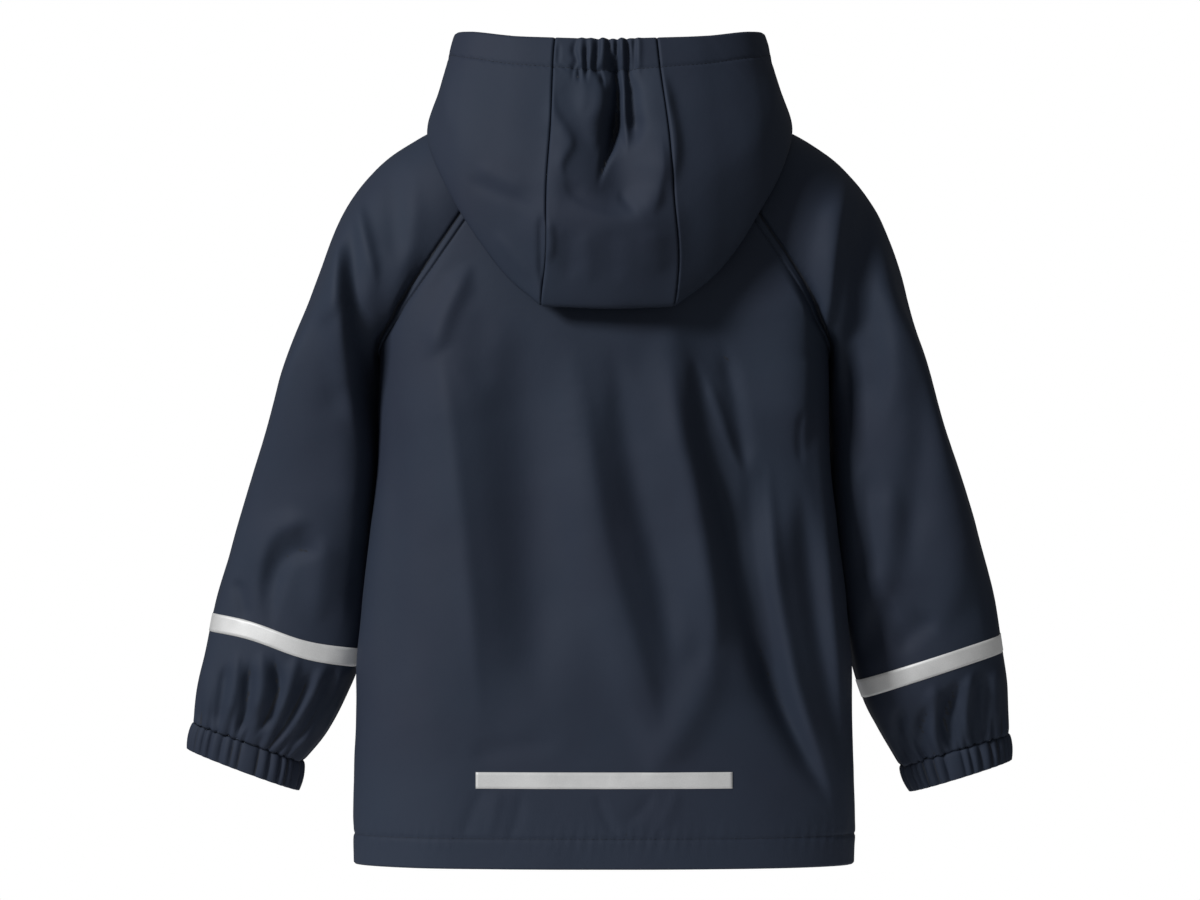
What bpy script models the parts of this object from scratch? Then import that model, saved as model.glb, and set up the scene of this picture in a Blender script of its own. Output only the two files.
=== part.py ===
"""A child's hooded raincoat of coated cloth, size 110 to 116, filled out with no wearer.

Tables and helpers are in millimetres and the meshes in metres. +Z is up, the coat's front faces -Y, the wearer's
left is +X, and the origin is the middle of the neck opening. Each cut-and-sewn piece is its own closed wall.

A piece starts as a grid of points on the cloth's outer side, in which rows run down the piece and columns run
round the body, counter-clockwise seen from above, so that row x column points out of the cloth.
"""

import math

import bmesh
import bpy
import numpy as np
from mathutils import Vector

MM = 0.001
CLOTH = 1.2  # wall thickness
SEAM_GAP = 0.3  # between sewn pieces, and under what lies on a panel
SQUARENESS = 2.4  # superellipse exponent of the torso's sections
SIDE_SEAM_Y = -15.0  # the side seams sit a little forward of the silhouette
HEM_Z = -570.0
HEM_DEPTH = 24.0
FRONT_OVERLAP = 16.0  # each front passes the centre by this much
FRONT_STEP = CLOTH + SEAM_GAP  # how far the upper front lies over the lower one
FRONT_LAP_TO = 45.0  # the upper front rises over the lower one between here
FRONT_LAP_SLOPE = 22.0  # and this much nearer the centre
WELT = 6.0  # width of the lapped raglan welt on the back
WELT_RISE = 0.7
WELT_STEP = 1.2  # the welt falls back to the cloth over this width
WELT_FADES_FROM = 0.6  # share of the way down the raglan seam
HEM_RISE = 0.5
TAPE = 1.0  # wall thickness of the reflective tape
BACK_TAPE_LENGTH = 202.0
BACK_TAPE_TOP_Z = -493.5
BACK_TAPE_BOTTOM_Z = -506.5
CASING = 22.0  # depth of the turned casing at the hood's rim
CASING_SWELL = 1.0
RIM_GATHER = 7.0  # from one gather to the next
RIM_GATHER_HEIGHT = 1.5
RIM_GATHERED = 27.0  # the elastic reaches this far to each side
SNAP_RADIUS = 6.5
SNAP_TOP_RADIUS = 5.3
SNAP_HEIGHT = 1.8
SNAP_FIRST_Z = -62.0
SNAP_LAST_Z = -510.0
SNAPS = 5
LEAN = -4.5  # the shoulders and the hood sit this much towards the wearer's right
LEAN_FROM_Z = -170.0
LEAN_FULL_Z = -90.0

RAGLAN_ROWS = 9
BACK_COLUMNS = 26
FRONT_COLUMNS = 13
SLEEVE_COLUMNS = 22
HOOD_ROWS = 17
HOOD_SIDE_COLUMNS = 13
HOOD_CENTRE_COLUMNS = 32
CUFF_GATHERS = 26
CUFF_POINTS = 4  # per gather
CUFF_ROWS = 3


def columns(names, *rows):
    """A short table, as a dictionary of column name to array."""
    return dict(zip(names.split(), np.array(rows, float).T))


# The torso above the underarm, neck to underarm. The sections are superellipses, drawn from the raglan seam on
# one side to the raglan seam on the other: edge_angle is where the seam is, counted from the side.
RAGLAN_BACK = columns(
    "down edge_angle edge_z span depth middle_z",
    (0.00, 40.9, 18, 72, 46, 4),
    (0.12, 51.0, -3, 112, 54, -16),
    (0.25, 54.6, -22, 148, 60, -34),
    (0.40, 54.0, -50, 179, 66, -60),
    (0.55, 48.0, -76, 186, 70, -84),
    (0.70, 39.4, -101, 186, 73, -107),
    (0.83, 29.0, -123.5, 183.5, 75, -128),
    (0.93, 16.2, -145, 181, 76, -148),
    (1.00, -8.2, -171, 179.5, 76, -172),
)
RAGLAN_FRONT = columns(
    "down edge_angle edge_z span depth middle_z",
    (0.00, 42.0, 5, 72, 60, -22),
    (0.12, 50.0, -16, 108, 66, -38),
    (0.25, 53.0, -36, 142, 70, -54),
    (0.40, 53.0, -62, 174, 74, -76),
    (0.55, 47.0, -86, 184, 77, -97),
    (0.70, 38.0, -108, 185, 78, -116),
    (0.83, 29.0, -129, 183, 78, -134),
    (0.93, 20.0, -148, 181, 77, -151),
    (1.00, 8.2, -171, 179.5, 77, -172),
)
# The top line of the sleeve over the shoulder, and half the sleeve's depth front to back.
SHOULDER = columns(
    "down x y z depth",
    (0.00, 72, -4, 26, 36.6),
    (0.12, 97, -6, 27, 49.5),
    (0.25, 122, -8, 22, 56),
    (0.40, 154, -10, 8, 60.5),
    (0.55, 187, -12, -15, 61.5),
    (0.70, 213.5, -13, -50, 60.5),
    (0.83, 230, -14, -92, 59),
    (0.93, 244, -14, -138, 57.5),
    (1.00, 254, -15, -168, 56),
)
# The torso below the underarm.
BODY = columns(
    "z span back_depth front_depth",
    (-570, 200, 80, 82),
    (-546, 200.5, 80, 82),
    (-456, 198.5, 78, 80),
    (-404, 197, 77.5, 79),
    (-368, 194, 77, 78.5),
    (-306, 187, 76.5, 78),
    (-250, 181, 76, 77.5),
    (-171, 179.5, 76, 77),
)
# The sleeve below the underarm: the outer and inner ends of each ring, its middle and half its depth.
SLEEVE_LEFT = columns(
    "down outer_x outer_z inner_x inner_z middle_y depth",
    (0.00, 254, -168, 178.2, -171, -15, 56),
    (0.14, 267.5, -214, 180.3, -216, -22, 54),
    (0.30, 284.5, -264, 180.6, -275, -31, 51),
    (0.46, 300.5, -316, 185.8, -336, -36, 48.5),
    (0.64, 315.5, -371, 194.5, -401, -38, 46),
    (0.685, 318.5, -385, 198, -415, -38.5, 45.5),
    (0.76, 322.5, -405, 207, -437, -39, 43.5),
    (0.88, 328, -432, 223, -467, -39, 37),
    (1.00, 330, -459, 243, -490, -39, 27),
)
SLEEVE_RIGHT = columns(
    "down outer_x outer_z inner_x inner_z middle_y depth",
    (0.00, 256, -168, 178.2, -171, -15, 56),
    (0.14, 269.5, -214, 180.3, -216, -22, 54),
    (0.30, 287.5, -264, 180.6, -276, -31, 51),
    (0.46, 303.5, -318, 186.5, -341, -36, 48.5),
    (0.58, 312.5, -352, 193, -383, -38, 47),
    (0.69, 318.5, -387, 203, -425, -38.5, 45.5),
    (0.735, 320.5, -401, 208, -439, -38.5, 45),
    (0.86, 325, -430, 220, -463, -39, 40),
    (1.00, 325.5, -468, 239.5, -494, -39, 27),
)
TAPE_ROWS = {"left": (0.64, 0.685), "right": (0.69, 0.735)}
# The free ends of the elastic casings.
CUFF_ENDS = {
    "left": {"outer_x": 335.5, "outer_z": -481, "inner_x": 247, "inner_z": -514},
    "right": {"outer_x": 328, "outer_z": -490, "inner_x": 247.5, "inner_z": -515},
}
CUFF_DEPTH = 26.0
CUFF_GATHER_HEIGHT = 1.6
CUFF_SWELL = 0.035  # share of the ring that the casing swells by between its seam and its free end
# The hood hangs open down the back as a pouch. Each rib of cloth runs from the neck seam through stand, under,
# fold and outside to the rim. side is 0 at the centre back and 1 at the centre front, and seam is the place on
# half the neckline where the rib starts.
HOOD_STAND = columns(
    "side seam x y z",
    (0.00, 0.00, 0, 53, 12),
    (0.20, 0.13, 28, 50, 15),
    (0.35, 0.22, 46, 44, 19),
    (0.50, 0.31, 62, 33, 27),
    (0.65, 0.42, 74, 14, 34),
    (0.72, 0.48, 77, 3, 36),
    (0.85, 0.64, 71, -27, 30),
    (1.00, 1.00, 1.2, -65, -13),
)
HOOD_UNDER = columns(
    "side x y z",
    (0.00, 0, 73, -52),
    (0.20, 33, 72.5, -52),
    (0.35, 66, 70, -40),
    (0.50, 96, 58, -12),
    (0.65, 114, 27, 31),
    (0.72, 115, 4, 36),
    (0.85, 96, -34, 32),
    (1.00, 1.4, -70, -7),
)
HOOD_FOLD = columns(
    "side x y z",
    (0.00, 0, 100, -133),
    (0.20, 52, 97, -127),
    (0.35, 85, 87, -102),
    (0.50, 118, 75, -52),
    (0.65, 143.5, 40, 3),
    (0.72, 144, 8, 19),
    (0.85, 124, -38, 32),
    (1.00, 1.6, -73, -1),
)
HOOD_OUTSIDE = columns(
    "side x y z",
    (0.00, 0, 117, -35),
    (0.20, 50, 113, -35),
    (0.35, 86, 102, -25),
    (0.50, 122, 80, 8),
    (0.65, 134, 42, 46),
    (0.72, 135, 8, 50),
    (0.85, 120, -42, 48),
    (1.00, 1.8, -74, 5),
)
HOOD_RIM = columns(
    "side x y z",
    (0.00, 0, 88, 83),
    (0.20, 40, 86, 84),
    (0.35, 76, 77, 86),
    (0.50, 111, 54, 91),
    (0.65, 124, 14, 90),
    (0.72, 122, -6, 84),
    (0.85, 106, -46, 66),
    (1.00, 2.0, -75, 12),
)
HOOD_CENTRE_SIDE = 0.20  # the centre panel reaches this far to each side
# Largest folds of the back, as lines down the cloth: a positive height is a ridge, a negative one a trough.
BACK_FOLDS = columns(
    "top_x top_z foot_x foot_z width height",
    (146, -170, 138, -470, 22, 4.0),
    (112, -170, 104, -400, 20, -4.0),
    (8, -150, 14, -470, 30, 3.5),
    (-22, -190, -14, -480, 20, -3.0),
    (-48, -150, -60, -420, 20, 3.5),
    (-70, -165, -150, -540, 13, -5.5),
    (-92, -165, -122, -330, 15, 5.0),
    (-128, -250, -186, -560, 17, -4.0),
)
FRONT_FOLDS = columns(
    "top_x top_z foot_x foot_z width height",
    (132, -180, 140, -520, 24, 4.0),
    (96, -200, 92, -540, 20, -3.5),
    (-104, -190, -96, -520, 22, -4.0),
    (-138, -170, -146, -480, 22, 4.0),
)
# Folds along the sleeves, by turn (0 at the underarm, 0.5 at the outer edge) and place down the sleeve.
SLEEVE_FOLDS = columns(
    "turn top foot slant width height",
    (0.28, -0.35, 0.45, 0.06, 0.06, -3.0),
    (0.40, -0.30, 0.60, 0.04, 0.06, 2.5),
    (0.64, -0.30, 0.55, -0.05, 0.06, -3.0),
    (0.76, -0.25, 0.50, -0.03, 0.06, 2.5),
    (0.20, 0.74, 1.30, 0.05, 0.03, -3.0),
    (0.34, 0.78, 1.30, -0.03, 0.03, -2.5),
    (0.62, 0.76, 1.30, 0.03, 0.03, -2.5),
    (0.78, 0.72, 1.30, -0.04, 0.03, -3.0),
)
# Folds of the hood's outer layer below the gathered rim.
HOOD_FOLDS = columns(
    "top_x top_z foot_x foot_z width height",
    (-6, 78, 7, -30, 7, -5.0),
    (-18, 78, -18, 5, 6, -3.0),
    (12, 78, 26, 10, 8, 2.5),
    (30, 40, 44, -20, 12, 3.0),
    (-34, 70, -44, -60, 14, 2.0),
)


def smooth(at, xs, ys):
    """The height at each place on a smooth curve through the points."""
    order = np.argsort(xs)
    xs, ys = np.asarray(xs, float)[order], np.asarray(ys, float)[order]
    at = np.clip(np.asarray(at, float), xs[0], xs[-1])
    slopes = np.gradient(ys, xs)
    i = np.clip(np.searchsorted(xs, at) - 1, 0, len(xs) - 2)
    width = xs[i + 1] - xs[i]
    t = (at - xs[i]) / width
    rise = ys[i + 1] - ys[i]
    a = slopes[i] * width - rise
    b = rise - slopes[i + 1] * width
    return ys[i] + rise * t + t * (1 - t) * (a * (1 - t) + b * t)


def read(table, column, at):
    """A column of the table at each place along the table's first column."""
    return smooth(at, next(iter(table.values())), table[column])


def ease(t):
    t = np.clip(t, 0, 1)
    return t * t * (3 - 2 * t)


def point(x, y, z):
    return np.stack(np.broadcast_arrays(x, y, z), axis=-1).astype(float)


def unit(vectors):
    return vectors / np.maximum(np.linalg.norm(vectors, axis=-1, keepdims=True), 1e-9)


def on_superellipse(span, depth, angle):
    """x and y at this angle, which is counted from the side."""
    x = span * np.sign(np.cos(angle)) * np.abs(np.cos(angle)) ** (2 / SQUARENESS)
    y = depth * np.sign(np.sin(angle)) * np.abs(np.sin(angle)) ** (2 / SQUARENESS)
    return x, y


def normals_of(grid, ring=False):
    """Unit vectors out of the cloth. A ring's last column meets its first."""
    down = np.gradient(grid, axis=0)
    if ring:
        across = (np.roll(grid, -1, axis=1) - np.roll(grid, 1, axis=1)) / 2
    else:
        across = np.gradient(grid, axis=1)
    return unit(np.cross(down, across))


def folds_at(table, x, z):
    """How far the folds push the cloth out at these places."""
    height = np.zeros(np.broadcast(x, z).shape)
    for top_x, top_z, foot_x, foot_z, width, rise in zip(*table.values()):
        along = (top_z - z) / (top_z - foot_z)
        line = top_x + (foot_x - top_x) * along
        ends = ease(along / 0.25) * ease((1 - along) / 0.3)
        height += rise * ends * np.exp(-(((x - line) / width) ** 2))
    return height


def leant(grid):
    """The grid with the lean of the shoulders and the hood."""
    share = ease((grid[..., 2] - LEAN_FROM_Z) / (LEAN_FULL_Z - LEAN_FROM_Z))
    return grid + point(LEAN * share, 0, 0)


def mirrored(grid):
    """The grid on the other side of the body, still with its columns counter-clockwise."""
    return (grid * (-1, 1, 1))[:, ::-1]


# Torso


RAGLAN_DOWN = np.linspace(0, 1, RAGLAN_ROWS)
BODY_Z = np.array(
    [-171, -200, -230, -262, -296, -330, -364, -398, -432, -464, BACK_TAPE_TOP_Z, BACK_TAPE_BOTTOM_Z]
    + [-527, HEM_Z + HEM_DEPTH + 1, HEM_Z + HEM_DEPTH - 1, HEM_Z],
    float,
)


def side_angle(depth):
    """Where the side seam is on a section with this depth."""
    return math.asin((abs(SIDE_SEAM_Y) / depth) ** (SQUARENESS / 2))


def along_line(line, places):
    """Points at these distances along a line of points."""
    run = np.concatenate([[0], np.cumsum(np.linalg.norm(np.diff(line, axis=0), axis=1))])
    return np.stack([np.interp(np.asarray(places) * run[-1], run, line[:, k]) for k in range(3)], -1)


def panel_row(span, depth, first_angle, last_angle, edge_z, middle_z, count, welts):
    """A row of a torso panel, with a column at the edge of each welt. The seam edge is at edge_z, and the row is
    at middle_z where it crosses the centre."""
    x, y = on_superellipse(span, depth, np.linspace(first_angle, last_angle, 240))
    line = point(x, y, middle_z + (edge_z - middle_z) * (x / np.abs(x).max()) ** 2)
    length = np.linalg.norm(np.diff(line, axis=0), axis=1).sum()
    edge, slope = WELT / length, (WELT + WELT_STEP) / length
    first, last = welts
    inner = np.linspace(slope if first else 0, 1 - slope if last else 1, count - 2 * (first + last))
    return along_line(line, np.concatenate([[0, edge] * first, inner, [1 - edge, 1] * last]))


def back_grid():
    """The back, from the wearer's left edge to the right one."""
    rows = []
    for down in RAGLAN_DOWN:
        row = {name: float(read(RAGLAN_BACK, name, down)) for name in RAGLAN_BACK}
        edge = math.radians(row["edge_angle"])
        rows.append((row["span"], row["depth"], edge, row["edge_z"], row["middle_z"]))
    for z in BODY_Z[1:]:
        depth = float(read(BODY, "back_depth", z))
        rows.append((float(read(BODY, "span", z)), depth, -side_angle(depth), z, z))
    return np.array(
        [
            panel_row(span, depth, edge, math.pi - edge, edge_z, middle_z, BACK_COLUMNS, (1, 1))
            for span, depth, edge, edge_z, middle_z in rows
        ]
    )


def front_grid():
    """The wearer's left front, from past the centre front to the side seam."""
    rows = []
    for down in RAGLAN_DOWN:
        row = {name: float(read(RAGLAN_FRONT, name, down)) for name in RAGLAN_FRONT}
        edge = math.radians(row["edge_angle"])
        rows.append((row["span"], row["depth"], edge, row["edge_z"], row["middle_z"]))
    for z in BODY_Z[1:]:
        depth = float(read(BODY, "front_depth", z))
        rows.append((float(read(BODY, "span", z)), depth, side_angle(depth), z, z))
    grid = []
    for span, depth, edge, edge_z, middle_z in rows:
        first = math.acos(-((FRONT_OVERLAP / span) ** (SQUARENESS / 2)))
        grid.append(panel_row(span, depth, -first, -edge, edge_z, middle_z, FRONT_COLUMNS, (0, 1)))
    return np.array(grid)


def push(grid, height):
    """The grid with each point moved out of the cloth by its height."""
    return grid + normals_of(grid) * height[..., None]


def edge_fade(grid, width=28.0):
    """0 at the first and last columns, rising to 1 this far inside."""
    steps = np.linalg.norm(np.diff(grid, axis=1), axis=2)
    run = np.concatenate([np.zeros((len(grid), 1)), np.cumsum(steps, axis=1)], axis=1)
    return ease(np.minimum(run, run[:, -1:] - run) / width)


back = back_grid()
front_left = front_grid()
# Below the underarm the fronts meet the back, and above it they meet the sleeves.
front_left[RAGLAN_ROWS - 1 :, -1] = back[RAGLAN_ROWS - 1 :, 0]
front_right = mirrored(front_left)


# Sleeves


def raglan_arc(back_point, front_point, down, turns):
    """One row of the sleeve above the underarm: part of an ellipse from the front seam over the top line to the
    back seam."""
    top = point(*(read(SHOULDER, name, down) for name in "xyz"))
    depth = float(read(SHOULDER, "depth", down))
    chord = back_point - front_point
    length = np.linalg.norm(chord)
    start = math.asin(min(length / (2 * depth), 1.0))
    toward_top = (top - (back_point + front_point) / 2) / (1 + math.cos(start))
    middle = top - toward_top
    angles = (start + (2 * math.pi - 2 * start) * turns)[:, None]
    return middle - toward_top * np.cos(angles) - depth * chord / length * np.sin(angles)


def sleeve_ring(table, down, turns):
    outer, inner = (
        point(read(table, end + "_x", down), read(table, "middle_y", down), read(table, end + "_z", down))
        for end in ("outer", "inner")
    )
    angles = (2 * math.pi * turns)[:, None]
    across = (outer - inner) / 2
    depth = point(0, read(table, "depth", down), 0)
    return (outer + inner) / 2 - across * np.cos(angles) - depth * np.sin(angles)


def sleeve_folds(turns, down):
    height = np.zeros(len(turns))
    for turn, top, foot, slant, width, rise in zip(*SLEEVE_FOLDS.values()):
        along = (down - top) / (foot - top)
        if 0 < along < 1:
            ends = ease(along / 0.3) * ease((1 - along) / 0.3)
            line = turn + slant * along
            height += rise * ends * np.exp(-(((turns - line) / width) ** 2))
    return height


def sleeve_grid(side, table):
    """The left-hand form of one sleeve, and the rows of its tape."""
    turns = np.linspace(0, 1, SLEEVE_COLUMNS)
    rows, places = [], []
    for k in range(RAGLAN_ROWS - 1):
        rows.append(raglan_arc(back[k, 0], front_left[k, -1], RAGLAN_DOWN[k], turns))
        places.append(RAGLAN_DOWN[k] - 1)
    tape = TAPE_ROWS[side]
    tube = [0, 0.07, 0.14, 0.22, 0.30, 0.38, 0.46, 0.55, *tape, 0.78, 0.85, 0.91, 0.96, 1.0]
    for down in tube:
        rows.append(sleeve_ring(table, down, turns))
        places.append(down)
    grid = np.array(rows)
    relief = np.array([sleeve_folds(turns, place) for place in places])
    grid = push(grid, relief * ease(np.minimum(turns, 1 - turns) / 0.08))
    first = RAGLAN_ROWS - 1 + tube.index(tape[0])
    return grid, (first, first + 1)


sleeve_left, tape_rows_left = sleeve_grid("left", SLEEVE_LEFT)
sleeve_right, tape_rows_right = sleeve_grid("right", SLEEVE_RIGHT)
sleeve_right = mirrored(sleeve_right)


# Folds, welt and hem of the torso


def torso_relief(grid, folds, welt_columns):
    """Folds, the turned hem, and the lapped welts, which end at the underarm."""
    above_hem = 1 - 0.6 * ease((-430 - grid[..., 2]) / 140)
    height = folds_at(folds, grid[..., 0], grid[..., 2]) * edge_fade(grid) * above_hem
    height += HEM_RISE * (grid[..., 2] < HEM_Z + HEM_DEPTH)
    down = np.concatenate([RAGLAN_DOWN, np.ones(len(grid) - RAGLAN_ROWS)])
    height[:, welt_columns] += WELT_RISE * (1 - ease((down - WELT_FADES_FROM) / 0.25))[:, None]
    return height


back = push(back, torso_relief(back, BACK_FOLDS, [0, 1, -2, -1]))
front_left = push(front_left, torso_relief(front_left, FRONT_FOLDS, [-2, -1]))
front_right = push(front_right, torso_relief(front_right, FRONT_FOLDS, [0, 1]))
lapped = ease((FRONT_LAP_TO - front_left[..., 0]) / FRONT_LAP_SLOPE)
front_left = push(front_left, FRONT_STEP * lapped)


# Hood


def neckline():
    """Half the neckline as points, from the centre back round the wearer's left to the centre front."""
    half = BACK_COLUMNS // 2
    behind = back[0, :half][::-1]
    centre_back = (back[0, half - 1] + back[0, half]) / 2
    beside = list(sleeve_left[0, ::-1][1:-1])
    before = [p for p in front_left[0, ::-1] if p[0] > 1.5]
    centre_front = point(1.0, before[-1][1], before[-1][2])
    return np.array([centre_back, *behind, *beside, *before, centre_front])


NECKLINE = neckline()


def rib(side):
    """The rib of the hood at this place, -1 to 1, from the rim (first) to the neck seam (last)."""
    way = abs(side)
    start = along_line(NECKLINE, [float(read(HOOD_STAND, "seam", way))])[0] + (0, 0, SEAM_GAP + 0.2)
    knots = [start]
    for table in (HOOD_STAND, HOOD_UNDER, HOOD_FOLD, HOOD_OUTSIDE, HOOD_RIM):
        knots.append(point(*(read(table, name, way) for name in "xyz")))
    knots = np.array(knots)
    gaps = np.linalg.norm(np.diff(knots, axis=0), axis=1) ** 0.5
    places = np.concatenate([[0], np.cumsum(gaps)])
    fine = np.linspace(0, places[-1], 160)
    line = np.stack([smooth(fine, places, knots[:, k]) for k in range(3)], -1)
    run = np.concatenate([[0], np.cumsum(np.linalg.norm(np.diff(line, axis=0), axis=1))])
    shares = np.concatenate(
        [np.linspace(0, 1 - CASING / run[-1], HOOD_ROWS - 3), 1 - CASING / run[-1] * np.array([0.9, 0.45, 0])]
    )
    points = along_line(line, shares)[::-1]
    return points * (1 if side >= 0 else -1, 1, 1)


def hood_grid(first, last, count):
    """The hood between two places, +1 on the wearer's left and -1 on the right."""
    return np.stack([rib(side) for side in np.linspace(first, last, count)], axis=1)


def hood_relief(grid, gathers):
    """Gathers of the elastic rim, the swell of the rim casing and the folds below it."""
    rows = np.arange(len(grid))[:, None]
    x = grid[..., 0]
    outside = grid[..., 1] > 60
    height = folds_at(HOOD_FOLDS, x, grid[..., 2]) * outside * (rows < HOOD_ROWS * 0.55)
    height[1] += CASING_SWELL
    if gathers:
        waves = np.sin(2 * np.pi * x / RIM_GATHER + 0.8 * np.sin(x / 5)) * ease((RIM_GATHERED - np.abs(x)) / 6)
        reach = np.array([1.0, 1.0, 0.9, 0.6, 0.25] + [0] * (len(grid) - 5))[:, None]
        height += RIM_GATHER_HEIGHT * waves * reach
    return height


hood_left = hood_grid(1, HOOD_CENTRE_SIDE, HOOD_SIDE_COLUMNS)
hood_centre = hood_grid(HOOD_CENTRE_SIDE, -HOOD_CENTRE_SIDE, HOOD_CENTRE_COLUMNS)
hood_right = hood_grid(-HOOD_CENTRE_SIDE, -1, HOOD_SIDE_COLUMNS)
hood_left = push(hood_left, hood_relief(hood_left, False))
hood_centre = push(hood_centre, hood_relief(hood_centre, True))
hood_right = push(hood_right, hood_relief(hood_right, False))


# Cuffs


def cuff_grid(side, table):
    """The left-hand form of one elastic casing, with its gathers."""
    turns = np.arange(CUFF_GATHERS * CUFF_POINTS) / (CUFF_GATHERS * CUFF_POINTS)
    seam = {name: float(read(table, name, 1.0)) for name in table}
    seam_y = seam["middle_y"]
    wave = np.cos(2 * np.pi * CUFF_GATHERS * turns + 0.9 * np.sin(2 * np.pi * 3 * turns + 1))
    uneven = 0.75 + 0.25 * np.sin(2 * np.pi * 5 * turns + 2)
    rows = []
    for share in np.linspace(0, 1, CUFF_ROWS):
        ends = []
        for end in ("outer", "inner"):
            last = CUFF_ENDS[side]
            x = seam[end + "_x"] + (last[end + "_x"] - seam[end + "_x"]) * share
            z = seam[end + "_z"] + (last[end + "_z"] - seam[end + "_z"]) * share
            ends.append(point(x, seam_y, z))
        outer, inner = ends
        swell = 1 + CUFF_SWELL * math.sin(math.pi * share)
        angles = (2 * math.pi * turns)[:, None]
        depth = point(0, seam["depth"] + (CUFF_DEPTH - seam["depth"]) * share, 0)
        ring = (outer + inner) / 2 + swell * (
            -(outer - inner) / 2 * np.cos(angles) - depth * np.sin(angles)
        )
        rows.append(ring)
    grid = np.array(rows)
    along = 0.45 + 0.55 * np.sin(np.pi * np.linspace(0.12, 0.88, CUFF_ROWS))
    height = CUFF_GATHER_HEIGHT * wave * uneven * along[:, None]
    axis = unit(grid[-1].mean(axis=0) - grid[0].mean(axis=0))
    return grid + axis * SEAM_GAP + normals_of(grid, ring=True) * height[..., None]


cuff_left = cuff_grid("left", SLEEVE_LEFT)
cuff_right = mirrored(cuff_grid("right", SLEEVE_RIGHT))


# Seams: neighbours share the direction of their edges' thickness and part by the gap


grids = {
    "back_panel": leant(back),
    "front_left": leant(front_left),
    "front_right": leant(front_right),
    "sleeve_left": leant(sleeve_left),
    "sleeve_right": leant(sleeve_right),
    "hood_left": leant(hood_left),
    "hood_centre": leant(hood_centre),
    "hood_right": leant(hood_right),
}
normals = {name: normals_of(grid) for name, grid in grids.items()}


def sew(first, first_column, second, second_column, rows):
    """Shares the normals of two edges and parts them by the seam gap."""
    inward = {0: 1, -1: -2}
    a, b = grids[first][rows], grids[second][rows]
    a_in = unit(a[:, inward[first_column]] - a[:, first_column])
    b_in = unit(b[:, inward[second_column]] - b[:, second_column])
    apart = unit(a_in - b_in) * SEAM_GAP / 2
    a[:, first_column] += apart
    b[:, second_column] -= apart
    na, nb = normals[first][rows], normals[second][rows]
    shared = unit(na[:, first_column] + nb[:, second_column])
    na[:, first_column] = shared
    nb[:, second_column] = shared


ABOVE = slice(0, RAGLAN_ROWS - 1)
UNDERARM = slice(RAGLAN_ROWS - 1, RAGLAN_ROWS)
BELOW = slice(RAGLAN_ROWS - 1, None)
ALL = slice(None)

sew("back_panel", 0, "sleeve_left", -1, ABOVE)
sew("sleeve_left", 0, "front_left", -1, ABOVE)
sew("back_panel", -1, "sleeve_right", 0, ABOVE)
sew("sleeve_right", -1, "front_right", 0, ABOVE)
sew("back_panel", 0, "front_left", -1, BELOW)
sew("back_panel", -1, "front_right", 0, BELOW)
sew("sleeve_left", 0, "sleeve_left", -1, BELOW)
sew("sleeve_right", 0, "sleeve_right", -1, BELOW)
sew("hood_left", -1, "hood_centre", 0, ALL)
sew("hood_centre", -1, "hood_right", 0, ALL)
for sleeve, outwards in (("sleeve_left", 1), ("sleeve_right", -1)):
    grids[sleeve][UNDERARM] += (outwards * SEAM_GAP, 0, 0)


# Meshes and materials


def material(name, colour, roughness, metallic=0.0):
    made = bpy.data.materials.new(name)
    made.use_nodes = True
    shader = made.node_tree.nodes["Principled BSDF"]
    shader.inputs["Base Color"].default_value = (*colour, 1)
    shader.inputs["Roughness"].default_value = roughness
    shader.inputs["Metallic"].default_value = metallic
    return made


def wall(name, outer, inner, made_of, ring=False):
    """One closed wall between two grids of the same size, in a new object."""
    count_rows, count_columns, _ = outer.shape
    mesh = bmesh.new()
    skins = [
        [[mesh.verts.new(p * MM) for p in row] for row in grid]
        for grid in (outer, inner)
    ]
    last = count_columns if ring else count_columns - 1
    for r in range(count_rows - 1):
        for c in range(last):
            d = (c + 1) % count_columns
            for skin, turn in zip(skins, (1, -1)):
                quad = [skin[r][c], skin[r + 1][c], skin[r + 1][d], skin[r][d]]
                mesh.faces.new(quad[::turn])
    for r in (0, count_rows - 1):
        for c in range(last):
            d = (c + 1) % count_columns
            mesh.faces.new([skins[0][r][c], skins[0][r][d], skins[1][r][d], skins[1][r][c]])
    for c in () if ring else (0, count_columns - 1):
        for r in range(count_rows - 1):
            mesh.faces.new([skins[0][r][c], skins[1][r][c], skins[1][r + 1][c], skins[0][r + 1][c]])
    bmesh.ops.recalc_face_normals(mesh, faces=mesh.faces)
    data = bpy.data.meshes.new(name)
    mesh.to_mesh(data)
    mesh.free()
    data.shade_smooth()
    data.set_sharp_from_angle(angle=math.radians(50))
    data.materials.append(made_of)
    made = bpy.data.objects.new(name, data)
    COAT.objects.link(made)
    return made


def patch(name, first_row, last_row, first_column, last_column):
    """Points of a panel between two rows and two places along them, and their normals."""
    grid, normal = grids[name], normals[name]
    whole = np.arange(math.ceil(first_column + 1e-6), math.floor(last_column - 1e-6) + 1)
    places = np.concatenate([[first_column], whole, [last_column]])
    low = np.clip(np.floor(places).astype(int), 0, grid.shape[1] - 2)
    part = (places - low)[None, :, None]
    rows = slice(first_row, last_row + 1)
    points = grid[rows][:, low] * (1 - part) + grid[rows][:, low + 1] * part
    out = unit(normal[rows][:, low] * (1 - part) + normal[rows][:, low + 1] * part)
    return points, out


def tape(name, panel, first_row, last_row, first_column, last_column):
    points, out = patch(panel, first_row, last_row, first_column, last_column)
    wall(name, points + out * (SEAM_GAP + TAPE), points + out * SEAM_GAP, REFLECTIVE)


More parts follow.
